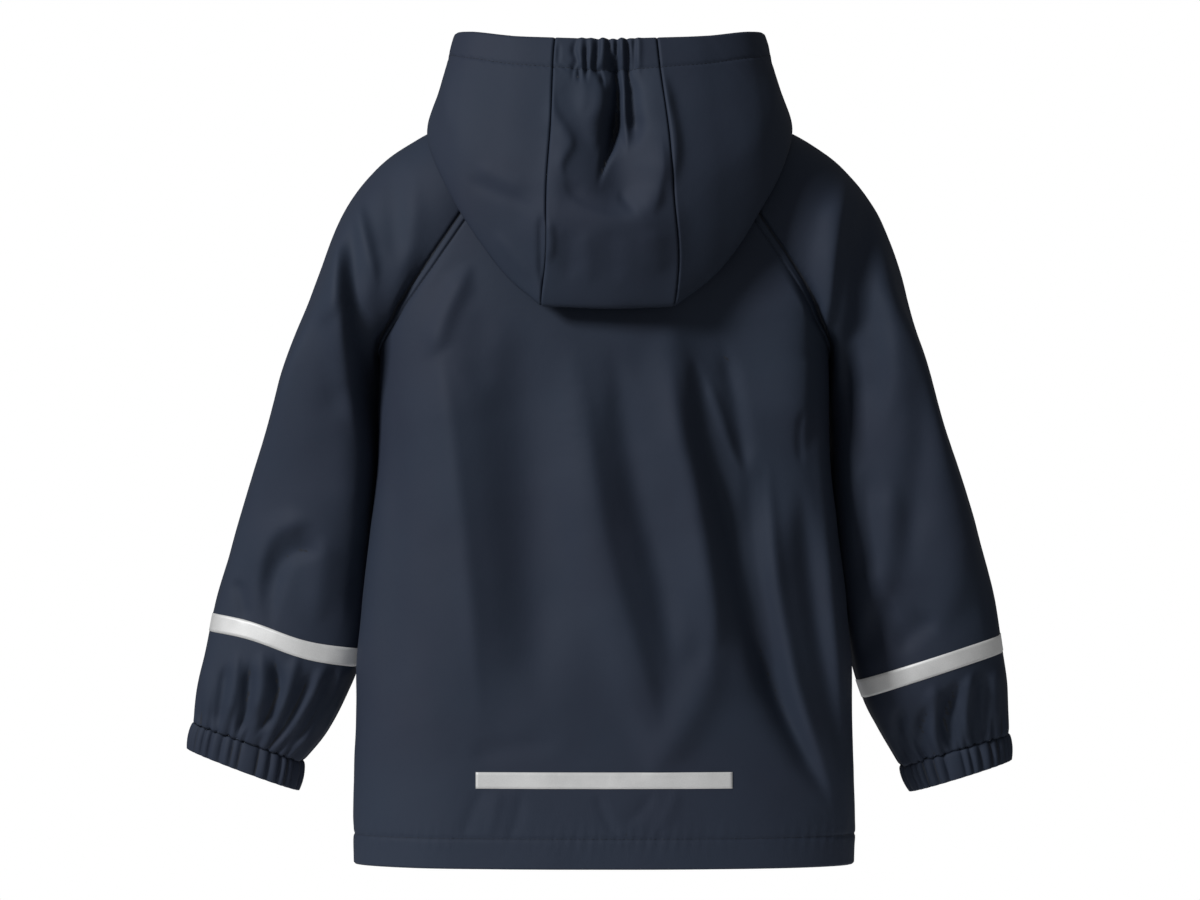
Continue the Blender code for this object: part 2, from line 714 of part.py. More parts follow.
for startup in list(bpy.data.objects):
    bpy.data.objects.remove(startup, do_unlink=True)
COAT = bpy.data.collections.new("kids_raincoat")
bpy.context.scene.collection.children.link(COAT)
RAINCLOTH = material("raincloth", (0.022, 0.030, 0.048), 0.5)
REFLECTIVE = material("reflective_tape", (0.42, 0.43, 0.44), 0.4, 0.3)
PLASTIC = material("snap_plastic", (0.020, 0.026, 0.040), 0.35)

for name, grid in grids.items():
    wall(name, grid, grid - normals[name] * CLOTH, RAINCLOTH)
for name, grid in (("cuff_left", cuff_left), ("cuff_right", cuff_right)):
    wall(name, grid, grid - normals_of(grid, ring=True) * CLOTH, RAINCLOTH, ring=True)

tape("tape_sleeve_left", "sleeve_left", *tape_rows_left, 0, SLEEVE_COLUMNS - 1)
tape("tape_sleeve_right", "sleeve_right", *tape_rows_right, 0, SLEEVE_COLUMNS - 1)
tape_top_row = RAGLAN_ROWS - 1 + list(BODY_Z).index(BACK_TAPE_TOP_Z)
row_x = grids["back_panel"][tape_top_row, ::-1, 0]
half = BACK_TAPE_LENGTH / 2
first_column, last_column = np.interp([half, -half], row_x, np.arange(BACK_COLUMNS)[::-1])
tape("tape_back", "back_panel", tape_top_row, tape_top_row + 1, first_column, last_column)


def snap(number, z):
    """A press-stud cap, seated just off the upper front at its centre line."""
    rows = grids["front_left"][::-1]
    centre_y = [np.interp(0.0, row[:, 0], row[:, 1]) for row in rows]
    centre_z = [np.interp(0.0, row[:, 0], row[:, 2]) for row in rows]
    y = np.interp(z, centre_z, centre_y)
    slope = np.interp(z, centre_z, np.gradient(centre_y, centre_z))
    out = Vector((0, -1, slope)).normalized()
    cap = bmesh.new()
    bmesh.ops.create_cone(
        cap,
        cap_ends=True,
        segments=16,
        radius1=SNAP_RADIUS * MM,
        radius2=SNAP_TOP_RADIUS * MM,
        depth=SNAP_HEIGHT * MM,
    )
    data = bpy.data.meshes.new(f"snap_{number}")
    cap.to_mesh(data)
    cap.free()
    data.materials.append(PLASTIC)
    made = bpy.data.objects.new(f"snap_{number}", data)
    made.rotation_euler = out.to_track_quat("Z", "Y").to_euler()
    made.location = (Vector((0, y, z)) + out * (SEAM_GAP + SNAP_HEIGHT / 2)) * MM
    COAT.objects.link(made)


for number, z in enumerate(np.linspace(SNAP_FIRST_Z, SNAP_LAST_Z, SNAPS), 1):
    snap(number, float(z))
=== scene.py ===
import math

import bpy
import numpy as np
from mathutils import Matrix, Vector


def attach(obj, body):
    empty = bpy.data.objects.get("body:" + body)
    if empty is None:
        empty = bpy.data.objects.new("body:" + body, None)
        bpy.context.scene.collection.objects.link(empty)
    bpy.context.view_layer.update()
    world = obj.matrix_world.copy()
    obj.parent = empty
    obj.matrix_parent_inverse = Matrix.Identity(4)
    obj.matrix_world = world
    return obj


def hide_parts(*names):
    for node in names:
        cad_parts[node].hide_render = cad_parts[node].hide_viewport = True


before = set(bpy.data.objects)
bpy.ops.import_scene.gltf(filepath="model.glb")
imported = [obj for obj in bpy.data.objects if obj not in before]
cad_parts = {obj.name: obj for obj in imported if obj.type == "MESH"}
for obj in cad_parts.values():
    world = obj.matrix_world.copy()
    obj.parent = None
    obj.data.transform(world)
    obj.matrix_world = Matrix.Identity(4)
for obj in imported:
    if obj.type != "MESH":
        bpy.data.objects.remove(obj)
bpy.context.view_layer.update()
MM = 0.001


# Studio: the coat is seen straight from behind, from 4.5 m, before plain white. The key light is a softbox
# high on the wearer's left, and another lights the front. A fill on the right and one by the camera are weak.

camera_x, camera_y, camera_z = 3.2, 4500.0, -240.0  # in mm, as all sizes of the coat
bpy.ops.object.camera_add(
    location=(camera_x * MM, camera_y * MM, camera_z * MM), rotation=(math.pi / 2, 0, math.pi)
)
camera = bpy.context.object
camera.data.lens = 168.75
camera.data.sensor_width = 36
bpy.context.scene.camera = camera
bpy.context.scene.view_settings.view_transform = "Standard"


def softbox(name, place, width, height, watts):
    """A soft light aimed at the middle of the coat."""
    data = bpy.data.lights.new(name, "AREA")
    data.shape = "RECTANGLE"
    data.size, data.size_y = width, height
    data.energy = watts
    light = bpy.data.objects.new(name, data)
    light.location = place
    light.rotation_euler = (Vector((0, 0, -0.25)) - Vector(place)).to_track_quat("-Z", "Y").to_euler()
    bpy.context.scene.collection.objects.link(light)


softbox("key", (2.55, 2.15, 1.42), 0.95, 0.95, 98)
softbox("fill", (-2.8, 2.0, 0.1), 1.8, 2.4, 2)
softbox("beside_camera", (0.35, 4.2, 0.1), 0.5, 0.5, 3)
softbox("front_key", (0.0, -3.2, 0.55), 0.4, 0.8, 75)

world = bpy.data.worlds.new("studio")
world.use_nodes = True
bpy.context.scene.world = world
air = world.node_tree
dim = air.nodes["Background"]
white = air.nodes.new("ShaderNodeBackground")
for background, strength in ((dim, 0.125), (white, 1.0)):
    background.inputs["Color"].default_value = (1, 1, 1, 1)
    background.inputs["Strength"].default_value = strength
ray = air.nodes.new("ShaderNodeLightPath")
either = air.nodes.new("ShaderNodeMixShader")
air.links.new(ray.outputs["Is Camera Ray"], either.inputs[0])
air.links.new(dim.outputs[0], either.inputs[1])
air.links.new(white.outputs[0], either.inputs[2])
air.links.new(either.outputs[0], air.nodes["World Output"].inputs["Surface"])


# Back panel: one cut of smooth coated rain cloth from the nape to the hem. Its raglan edges lap over the
# sleeves as topstitched welts, and its foot is turned up 24 mm and stitched.


def columns(names, *rows):
    """A short table, as a dictionary of column name to array."""
    return dict(zip(names.split(), np.array(rows, float).T))


raglan_back = columns(
    "down edge_angle edge_z span depth middle_z",
    (0.00, 40.9, 18, 72, 46, 4),
    (0.12, 51.0, -3, 112, 54, -16),
    (0.25, 54.6, -22, 148, 60, -34),
    (0.40, 54.0, -50, 179, 66, -60),
    (0.55, 48.0, -76, 186, 70, -84),
    (0.70, 39.4, -101, 186, 73, -107),
    (0.83, 29.0, -123.5, 183.5, 75, -128),
    (0.93, 16.2, -145, 181, 76, -148),
    (1.00, -8.2, -171, 179.5, 76, -172),
)
body = columns(
    "z span back_depth front_depth",
    (-570, 200, 80, 82),
    (-546, 200.5, 80, 82),
    (-456, 198.5, 78, 80),
    (-404, 197, 77.5, 79),
    (-368, 194, 77, 78.5),
    (-306, 187, 76.5, 78),
    (-250, 181, 76, 77.5),
    (-171, 179.5, 76, 77),
)
squareness = 2.4  # exponent of the torso's superellipse sections
side_seam_y = -15.0
underarm_z, hem_stitch_z, hem_z = -171.0, -546.0, -570.0
tape_z = (-493.5, -506.5)
rows_to_tape, rows_on_tape = 102, 6  # from the underarm to the back's tape, and across it
cloth_thick = 0.8


def smooth(at, xs, ys):
    """The height at each place on a smooth curve through the points."""
    order = np.argsort(xs)
    xs, ys = np.asarray(xs, float)[order], np.asarray(ys, float)[order]
    at = np.clip(np.asarray(at, float), xs[0], xs[-1])
    slopes = np.gradient(ys, xs)
    i = np.clip(np.searchsorted(xs, at) - 1, 0, len(xs) - 2)
    width = xs[i + 1] - xs[i]
    t = (at - xs[i]) / width
    rise = ys[i + 1] - ys[i]
    a = slopes[i] * width - rise
    b = rise - slopes[i + 1] * width
    return ys[i] + rise * t + t * (1 - t) * (a * (1 - t) + b * t)


def read(table, column, at):
    """A column of the table at each place along the table's first column."""
    return smooth(at, next(iter(table.values())), table[column])


def ease(t):
    t = np.clip(t, 0, 1)
    return t * t * (3 - 2 * t)


def bell(d, width):
    return np.exp(-((d / width) ** 2))


def point(x, y, z):
    return np.stack(np.broadcast_arrays(x, y, z), axis=-1).astype(float)


def unit(vectors):
    return vectors / np.maximum(np.linalg.norm(vectors, axis=-1, keepdims=True), 1e-9)


def spaced(*stretches):
    """Places along stretches of (from, to, steps), each stretch beginning where the last one ends."""
    return np.concatenate([[stretches[0][0]]] + [np.linspace(a, b, n + 1)[1:] for a, b, n in stretches])


def length_of(line):
    """How far along the line each of its points is."""
    return np.concatenate([[0], np.cumsum(np.linalg.norm(np.diff(line, axis=0), axis=1))])


def between(wanted, run, line):
    """The line's points where its running measure has the wanted values."""
    return np.stack([np.interp(wanted, run, line[:, k]) for k in range(3)], -1)


def resampled(line, close, middle):
    """The line again, with points close together by its ends and even between: the points, and how far each
    one is from the first and the last."""
    run = length_of(line)
    whole = run[-1]
    close = np.asarray(close) * min(1.0, whole / 3 / close[-1])
    last = whole - close[::-1]
    places = np.concatenate([close, np.linspace(close[-1], last[0], middle + 2)[1:-1], last])
    return between(places, run, line), places, whole - places


def normals_of(grid, ring=False):
    """Unit vectors out of the cloth. Its rows run down and its columns counter-clockwise from above."""
    down = np.gradient(grid, axis=0)
    across = (np.roll(grid, -1, 1) - np.roll(grid, 1, 1)) / 2 if ring else np.gradient(grid, axis=1)
    return unit(np.cross(down, across))


def leant(grid):
    """The grid with the shoulders and the hood 4.5 mm towards the wearer's right."""
    return grid - point(4.5 * ease((grid[..., 2] + 170) / 80), 0, 0)


def mirrored(grid):
    return (grid * (-1, 1, 1))[:, ::-1]


def side_angle(depth):
    """Where the side seam is on a section with this depth."""
    return math.asin((abs(side_seam_y) / depth) ** (squareness / 2))


def torso_row(span, depth, first_angle, last_angle, edge_z, middle_z):
    """A fine line round the torso between two angles, which are counted from the side."""
    angle = np.linspace(first_angle, last_angle, 500)
    x = span * np.sign(np.cos(angle)) * np.abs(np.cos(angle)) ** (2 / squareness)
    y = depth * np.sign(np.sin(angle)) * np.abs(np.sin(angle)) ** (2 / squareness)
    return point(x, y, middle_z + (edge_z - middle_z) * (x / np.abs(x).max()) ** 2)


def creases_at(x, z, creases):
    """How far creases push the cloth out at the places x, z. A crease is its rise, its reach to the left and
    to the right as seen from behind, and the places that it runs through from its top."""
    height = np.zeros(x.shape)
    for rise, left, right, *path in creases:
        path = np.array(path, float)
        t = np.linspace(0, 1, 120)
        line = np.stack([smooth(t, np.linspace(0, 1, len(path)), path[:, k]) for k in (0, 1)], -1)
        reach = 3.2 * max(left, right)
        low, high = line.min(0) - reach, line.max(0) + reach
        near = (x > low[0]) & (x < high[0]) & (z > low[1]) & (z < high[1])
        if not near.any():
            continue
        dx, dz = x[near][:, None] - line[:, 0], z[near][:, None] - line[:, 1]
        k = (dx**2 + dz**2).argmin(1)
        tangent = np.gradient(line, axis=0)
        tangent /= np.linalg.norm(tangent, axis=1, keepdims=True)
        rows = np.arange(len(k))
        dx, dz = dx[rows, k], dz[rows, k]
        tx, tz = tangent[k].T
        ahead = (dx * tx + dz * tz) / np.linalg.norm(line[-1] - line[0])
        along = np.clip(t[k] + ahead, 0, 1)
        aside = tx * dz - tz * dx
        taper = ease(along / 0.25) * ease((1 - along) / 0.3)
        width = np.where(aside > 0, left, right) * (0.45 + 0.55 * taper)
        height[near] += rise * taper * bell(aside, width)
    return height


def ripple(points, size, seed):
    """An uneven swell of this size, from about -1 to 1, which runs on from piece to piece."""
    rng = np.random.default_rng(seed)
    total = 0
    for _ in range(16):
        direction = rng.normal(size=3)
        direction *= rng.uniform(0.6, 1.6) / size / np.linalg.norm(direction)
        total = total + np.sin(2 * np.pi * (points @ direction) + rng.uniform(0, 2 * np.pi))
    return total / 5.6


def crumple(points):
    """The faint unevenness of coated cloth that has been folded and worn."""
    return 0.55 * ripple(points, 95, 1) + 0.16 * ripple(points, 40, 2) + 0.035 * ripple(points, 15, 3)


def pucker(along, off, length, reach):
    """Small waves that a seam draws up in the cloth beside it, dying out away from the stitches."""
    phase = 2 * np.pi * along / length + 1.6 * np.sin(along / 23) + 0.9 * np.sin(along / 9.1 + 1)
    uneven = 0.6 + 0.4 * np.sin(along / 31 + 2)
    return np.sin(phase + off * 0.12) * uneven * bell(off, reach)


def as_seen(grid):
    """x and z of each point as they show to the camera, against the plane of the neck."""
    near = camera_y / (camera_y - grid[..., 1])
    return camera_x + (grid[..., 0] - camera_x) * near, camera_z + (grid[..., 2] - camera_z) * near


class Socket:
    """A node's socket in arithmetic: an expression on it adds its Math nodes."""

    def __init__(self, finish, socket):
        self.finish, self.socket = finish, socket

    def maths(self, operation, first, second):
        return self.finish.node("ShaderNodeMath", {"operation": operation}, {0: first, 1: second})

    def __add__(self, other):
        return self.maths("ADD", self, other)

    def __mul__(self, other):
        return self.maths("MULTIPLY", self, other)

    __radd__ = __add__
    __rmul__ = __mul__


class Finish:
    """A material, and the one way of adding a node to it."""

    def __init__(self, name, roughness, **constant):
        self.material = bpy.data.materials.new(name)
        self.material.use_nodes = True
        self.tree = self.material.node_tree
        self.shader = self.tree.nodes["Principled BSDF"]
        self.set(self.shader.inputs["Roughness"], roughness)
        for socket, value in constant.items():
            self.set(self.shader.inputs[socket.replace("_", " ")], value)

    def set(self, socket, value):
        if isinstance(value, Socket):
            self.tree.links.new(value.socket, socket)
        else:
            socket.default_value = value

    def node(self, kind, settings=None, inputs=None, output=0):
        made = self.tree.nodes.new(kind)
        for name, value in (settings or {}).items():
            if name == "stops":
                ramp = made.color_ramp
                while len(ramp.elements) < len(value):
                    ramp.elements.new(0.5)
                for element, (place, colour) in zip(ramp.elements, value):
                    element.position = place
                    element.color = (*colour, 1)
            else:
                setattr(made, name, value)
        for name, value in (inputs or {}).items():
            self.set(made.inputs[name], value)
        return Socket(self, made.outputs[output])

    def noise(self, size, detail, roughness=0.5, stretch=(1, 1, 1)):
        """Noise whose features are this many metres across, from 0 to 1."""
        place = self.node("ShaderNodeTexCoord", output="Object")
        place = self.node("ShaderNodeMapping", {"vector_type": "POINT"}, {"Vector": place, "Scale": stretch})
        return self.node(
            "ShaderNodeTexNoise",
            inputs={"Vector": place, "Scale": 1 / size, "Detail": detail, "Roughness": roughness},
        )

    def bump(self, height, depth, under=None):
        """A normal with this relief, whose height 1 is depth metres."""
        inputs = {"Height": height, "Strength": 1.0, "Distance": depth}
        if under:
            inputs["Normal"] = under
        return self.node("ShaderNodeBump", inputs=inputs)

    def colour(self, share, low, high):
        return self.node("ShaderNodeValToRGB", {"stops": [(0, low), (1, high)]}, {"Fac": share})

    def vary(self, **sockets):
        for name, value in sockets.items():
            self.set(self.shader.inputs[name.replace("_", " ")], value)


rain_cloth = Finish("coated_rain_cloth", 0.74, Specular_IOR_Level=0.31)
cloud = rain_cloth.noise(0.09, 3.0)
grain = rain_cloth.noise(0.0007, 2.0)
dimple = rain_cloth.noise(0.006, 3.0, 0.55)
rain_cloth.vary(
    Base_Color=rain_cloth.colour(cloud, (0.0250, 0.0315, 0.0560), (0.0260, 0.0405, 0.0680)),
    Roughness=0.70 + 0.05 * cloud + 0.04 * grain,
    Normal=rain_cloth.bump(grain, 0.00005, rain_cloth.bump(dimple, 0.00012)),
)
knit_back = Finish("cloth_underside", 0.85, Specular_IOR_Level=0.25)
rib = knit_back.noise(0.0008, 1.0, 0.5, (1, 1, 0.25))
knit_back.vary(
    Base_Color=knit_back.colour(rib, (0.022, 0.026, 0.036), (0.040, 0.046, 0.060)),
    Normal=knit_back.bump(rib, 0.00025),
)


def placed(name, points, faces, slot, *finishes):
    """A smooth mesh of these points in mm, as a piece of the coat."""
    mesh = bpy.data.meshes.new(name)
    mesh.from_pydata((np.asarray(points) * MM).tolist(), [], faces)
    for finish in finishes:
        mesh.materials.append(finish.material)
    mesh.shade_smooth()
    made = bpy.data.objects.new(name, mesh)
    bpy.context.scene.collection.objects.link(made)
    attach(made, "root")
    return made


def shell(name, outer, thick, node, ring=False, slot="raincloth", finish=rain_cloth):
    """Thin cloth: the fine outer skin, an inner skin from every second point, and the cut edges between."""
    rows, across, _ = outer.shape
    thick = np.broadcast_to(thick, (rows, across))
    inner = (outer - normals_of(outer, ring) * thick[..., None])[::2, ::2]
    inner_across = inner.shape[1]
    points = np.concatenate([outer.reshape(-1, 3), inner.reshape(-1, 3)])
    o = np.arange(rows * across).reshape(rows, across)
    i = rows * across + np.arange(inner.shape[0] * inner_across).reshape(-1, inner_across)
    if ring:
        o, i = (np.concatenate([part, part[:, :1]], 1) for part in (o, i))
    skin = np.stack([o[:-1, :-1], o[1:, :-1], o[1:, 1:], o[:-1, 1:]], -1).reshape(-1, 4).tolist()
    under = np.stack([i[:-1, :-1], i[:-1, 1:], i[1:, 1:], i[1:, :-1]], -1).reshape(-1, 4).tolist()
    cut = []
    for r, s, turn in ((0, 0, 1), (-1, -1, -1)):
        for c in range(i.shape[1] - 1):
            face = [o[r, 2 * c], o[r, 2 * c + 1], o[r, 2 * c + 2], i[s, c + 1], i[s, c]]
            cut.append([int(v) for v in face[::turn]])
    for c, s, turn in () if ring else ((0, 0, -1), (-1, -1, 1)):
        for r in range(i.shape[0] - 1):
            face = [o[2 * r, c], o[2 * r + 1, c], o[2 * r + 2, c], i[r + 1, s], i[r, s]]
            cut.append([int(v) for v in face[::turn]])
    made = placed(name, points, skin + under + cut, slot, finish, knit_back)
    sides = np.zeros(len(skin + under + cut), np.int32)
    sides[len(skin) : len(skin) + len(under)] = 1
    made.data.polygons.foreach_set("material_index", sides)
    made.data.update()
    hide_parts(node)
    return made


navy_thread = Finish("navy_thread", 0.6, Specular_IOR_Level=0.3)
twist = navy_thread.noise(0.0006, 1.0)
navy_thread.vary(Base_Color=navy_thread.colour(twist, (0.011, 0.014, 0.022), (0.026, 0.032, 0.047)))


def tube_faces(first, rings, around, turn=1):
    """The faces of a closed tube whose rings of points follow one another from the first point. The turn is
    -1 where they run the other way round."""
    faces = []
    for r in range(first, first + (rings - 1) * around, around):
        for k in range(around):
            m = (k + 1) % around
            face = [r + k, r + m, r + around + m, r + around + k]
            faces.append(face if turn > 0 else face[:1] + face[:0:-1])
    faces.append([first + k for k in range(around)][::-turn])
    faces.append([first + (rings - 1) * around + k for k in range(around)][::turn])
    return faces


def stitching(name, lines, pitch=3.6, stitch=2.7, radius=0.24):
    """One joined mesh of lockstitches along lines of (points, normals), short threads with sunk ends."""
    sides = 6
    turn = np.linspace(0, 2 * np.pi, sides + 1)[:-1]
    rings = ((-0.5, 0.35, -0.25), (-0.36, 0.95, 0.1), (0.0, 1.0, 0.3), (0.36, 0.95, 0.1), (0.5, 0.35, -0.25))
    points, faces = [], []
    for line, normals in lines:
        run = length_of(line)
        middles = np.arange(pitch / 2, run[-1], pitch)
        centre = between(middles, run, line)
        out = unit(between(middles, run, normals))
        along = unit(between(middles + 0.5, run, line) - centre)
        side = unit(np.cross(along, out))
        for c, a, n, s in zip(centre, along, out, side):
            first = len(points)
            for share, wide, lift in rings:
                middle = c + a * share * stitch + n * lift * radius
                points.extend(middle + radius * wide * (s * math.cos(t) + n * math.sin(t)) for t in turn)
            faces += tube_faces(first, len(rings), sides)
    return placed(name, points, faces, "raincloth", navy_thread)


raglan_down = np.linspace(0, 1, 85)
body_z = spaced(
    (underarm_z, tape_z[0], rows_to_tape),
    (*tape_z, rows_on_tape),
    (tape_z[1], -538, 11),
    (-538, hem_stitch_z, 5),
    (hem_stitch_z, -568, 12),
    (-568, hem_z, 4),
)
underarm = len(raglan_down) - 1
hem_row = underarm + int(np.argmin(np.abs(body_z - hem_stitch_z)))
close_to_edge = [0, 0.5, 1.1, 1.9, 2.9, 4.0, 4.9, 5.6, 6.2, 6.9, 7.9, 9.4, 11.4, 13.6]


def torso_panel(table, depth_column, side, ends, middle):
    """Rows of a panel from the neck to the hem, and how far each point is from its row's two edges."""
    places = []
    for down in raglan_down:
        _, angle, edge_z, span, depth, middle_z = (float(read(table, name, down)) for name in table)
        places.append((span, depth, math.radians(angle), edge_z, middle_z))
    for z in body_z[1:]:
        span, depth = (float(read(body, name, z)) for name in ("span", depth_column))
        places.append((span, depth, side * side_angle(depth), z, z))
    rows = []
    for span, depth, edge, edge_z, middle_z in places:
        line = torso_row(span, depth, *ends(span, edge), edge_z, middle_z)
        rows.append(resampled(line, close_to_edge, middle))
    return tuple(np.array(part) for part in zip(*rows))


def foot_of(grid):
    """The turned-up hem: the sunk row of stitches, its puckers, and the fold at the foot."""
    x, z = grid[..., 0], grid[..., 2]
    height = -0.9 * bell(z - hem_stitch_z, 1.3) + 0.25 * ease((hem_stitch_z - z) / 3)
    height += 0.6 * pucker(x, z - hem_stitch_z, 8.5, 9)
    fold = 1.8
    return height - 1.1 * ease((hem_z + fold - z) / fold) ** 2


def welt(off):
    """Across a lapped seam from its edge: a raised band of 6 mm, then the sunk row of stitches."""
    band = 0.2 + 1.1 * ease(off / 1.1)
    return band * (1 - ease((off - 4.8) / 2.0)) - 0.8 * bell(off - 6.1, 1.0)


def plain_seam(off):
    """Both edges of a plain seam roll in."""
    return -0.9 * (1 - ease(off / 2.4)) ** 2


def side_edges(grid, off, column):
    """One edge of a torso panel: the welt above the underarm, the plain side seam below it."""
    raglan = 1 - ease((raglan_down - 0.985) / 0.015)
    above = np.concatenate([raglan, np.zeros(len(grid) - underarm - 1)])[:, None]
    along = length_of(grid[:, column])[:, None]
    return above * (welt(off) + 0.16 * pucker(along, off - 6, 6.5, 3.5)) + (1 - above) * plain_seam(off)


def hem_thickness(grid):
    """The cloth is thicker where it is turned up."""
    return cloth_thick + 0.7 * ease((hem_stitch_z - grid[..., 2]) / 2)


back_base, from_left, from_right = torso_panel(
    raglan_back, "back_depth", -1, lambda span, edge: (edge, math.pi - edge), 163
)
back_creases = (
    (7.0, 30, 30, (132, -136), (119, -240), (107, -344), (97, -486)),
    (2.0, 9, 9, (134, -146), (121, -240), (109, -344), (98, -468)),
    (-8.5, 29, 30, (71, -124), (60, -240), (55, -340), (52, -456)),
    (7.5, 21, 21, (27, -140), (12, -284), (-4, -352), (-26, -424), (-38, -486)),
    (1.2, 8, 8, (18, -166), (3, -284), (-13, -352), (-35, -424), (-45, -470)),
    (-6.2, 15, 15, (-5, -150), (-25, -264), (-45, -344), (-55, -424)),
    (8.0, 24, 19, (-52, -122), (-57, -176), (-64, -224), (-77, -276), (-86, -328), (-92, -376), (-87, -436)),
    (4.6, 13, 9, (-53, -160), (-60, -224), (-73, -276), (-82, -328), (-88, -376), (-84, -424)),
    (-5.4, 8, 9, (-71, -158), (-74, -184), (-82, -236), (-98, -292), (-108, -344),
     (-124, -400), (-142, -448), (-168, -504)),
    (-6.0, 19, 16, (-82, -222), (-98, -292), (-108, -344), (-124, -400), (-142, -448), (-168, -504)),
    (-6.0, 32, 32, (-82, -80), (-90, -170), (-103, -260), (-120, -350)),
    (-6.4, 10, 11, (-115, -370), (-131, -420), (-144, -450), (-165, -490), (-188, -530)),
    (1.8, 4, 4, (-82, -180), (-91, -206), (-103, -240), (-113, -262)),
    (-3.4, 8, 7, (-94, -146), (-104, -196), (-110, -232), (-115, -262)),
    (7.0, 34, 9, (-154, -70), (-160, -150), (-160, -196), (-156, -250)),
    (10.0, 30, 8, (-171, -10), (-174, -200), (-179, -300), (-188, -400), (-197, -640)),
    (-1.6, 3, 3, (-160, -206), (-156, -226), (-158, -256)),
    (-4.0, 11, 11, (-116, -250), (-120, -320), (-132, -380), (-149, -440)),
    (4.6, 7, 7, (-131, -236), (-136, -328), (-144, -384), (-156, -436), (-172, -488), (-190, -540)),
    (-6.8, 11, 11, (-156, -262), (-163, -328), (-170, -384), (-182, -444), (-197, -508)),
    (4.2, 8, 8, (-172, -180), (-177, -244), (-183, -344), (-188, -424), (-195, -494)),
    (5.6, 20, 16, (-88, -396), (-80, -430), (-66, -456), (-50, -480), (-34, -506)),
    (4.2, 9, 9, (106, -88), (127, -132), (139, -168)),
    (-1.2, 12, 12, (96, -124), (100, -160), (98, -194)),
    (-2.6, 12, 12, (170, -170), (167, -280), (169, -380), (175, -490)),
    (5.0, 43, 43, (140, -50), (139, -200), (139, -400), (139, -660)),
    (-1.2, 9, 9, (112, -487), (74, -478), (28, -473)),
    (-1.0, 5, 5, (96, -508), (106, -532), (114, -552)),
    (-1.0, 4, 5, (66, -512), (70, -536), (78, -556)),
    (0.9, 5, 5, (84, -510), (88, -530), (94, -552)),
    (-0.9, 4, 4, (6, -514), (0, -532), (-12, -554)),
    (-0.9, 5, 4, (-41, -512), (-29, -530), (-12, -540)),
    (0.8, 5, 5, (-60, -508), (-52, -530), (-40, -548)),
)
back = leant(back_base)
sunk = 1.1 * creases_at(*as_seen(back), back_creases) * ease(np.minimum(from_left, from_right) / 14)
back_height = crumple(back) + foot_of(back)
for off, column in ((from_left, 0), (from_right, -1)):
    back_height += side_edges(back, off, column)
back = back + normals_of(back) * back_height[..., None] + point(0, sunk, 0)
back_out = normals_of(back)
back_panel = shell("back_panel_cloth", back, hem_thickness(back_base), "back_panel")
stitch_column = close_to_edge.index(6.2)
welt_rows = slice(2, underarm - 1)
back_lines = ((welt_rows, stitch_column), (welt_rows, -1 - stitch_column), (hem_row, slice(2, -2)))
back_stitches = stitching("stitching_back", [(back[line], back_out[line]) for line in back_lines])


# Fronts: two panels of the same cloth, cut like the back's halves, with welts of their own. The wearer's left
# one laps 32 mm over the right one, and each front edge is turned in and topstitched twice.

raglan_front = columns(
    "down edge_angle edge_z span depth middle_z",
    (0.00, 42.0, 5, 72, 60, -22),
    (0.12, 50.0, -16, 108, 66, -38),
    (0.25, 53.0, -36, 142, 70, -54),
    (0.40, 53.0, -62, 174, 74, -76),
    (0.55, 47.0, -86, 184, 77, -97),
    (0.70, 38.0, -108, 185, 78, -116),
    (0.83, 29.0, -129, 183, 78, -134),
    (0.93, 20.0, -148, 181, 77, -151),
    (1.00, 8.2, -171, 179.5, 77, -172),
)
lap = 16.0  # each front passes the centre by this much
lap_step = 1.5  # how far the upper front lies over the lower one
edge_stitches = (3.0, 32.0)  # from each front edge
front_creases = (
    (2.4, 8, 8, (-101, -86), (-122, -118), (-146, -146)),
    (-1.8, 6, 6, (-116, -92), (-134, -118), (-154, -140)),
    (2.2, 8, 8, (98, -84), (120, -120), (142, -146)),
    (3.0, 18, 18, (-146, -170), (-142, -260), (-144, -380), (-152, -480)),
    (-3.4, 15, 16, (-104, -150), (-98, -250), (-96, -350), (-88, -470)),
    (2.6, 14, 14, (-60, -130), (-54, -240), (-50, -360), (-54, -460)),
    (-5.0, 8, 7, (72, -170), (78, -230), (92, -300), (112, -370), (134, -440), (166, -505)),
    (3.0, 6, 7, (84, -175), (96, -240), (110, -290)),
    (-2.6, 7, 7, (102, -150), (112, -210), (116, -250)),
    (3.0, 10, 9, (126, -250), (136, -330), (150, -410), (172, -480)),
    (-4.6, 8, 6, (146, -240), (156, -320), (172, -410), (198, -520)),
    (2.2, 8, 8, (176, -210), (182, -320), (194, -470)),
    (-2.4, 12, 12, (54, -240), (50, -340), (54, -430)),
    (-3.2, 7, 8, (-128, -300), (-140, -380), (-162, -460), (-186, -520)),
    (-1.0, 5, 5, (-96, -508), (-104, -532), (-114, -552)),
    (0.9, 5, 5, (70, -510), (76, -530), (84, -552)),
)
front_base, from_edge, from_seam = torso_panel(
    raglan_front,
    "front_depth",
    1,
    lambda span, edge: (-math.acos(-((lap / span) ** (squareness / 2))), -edge),
    73,
)


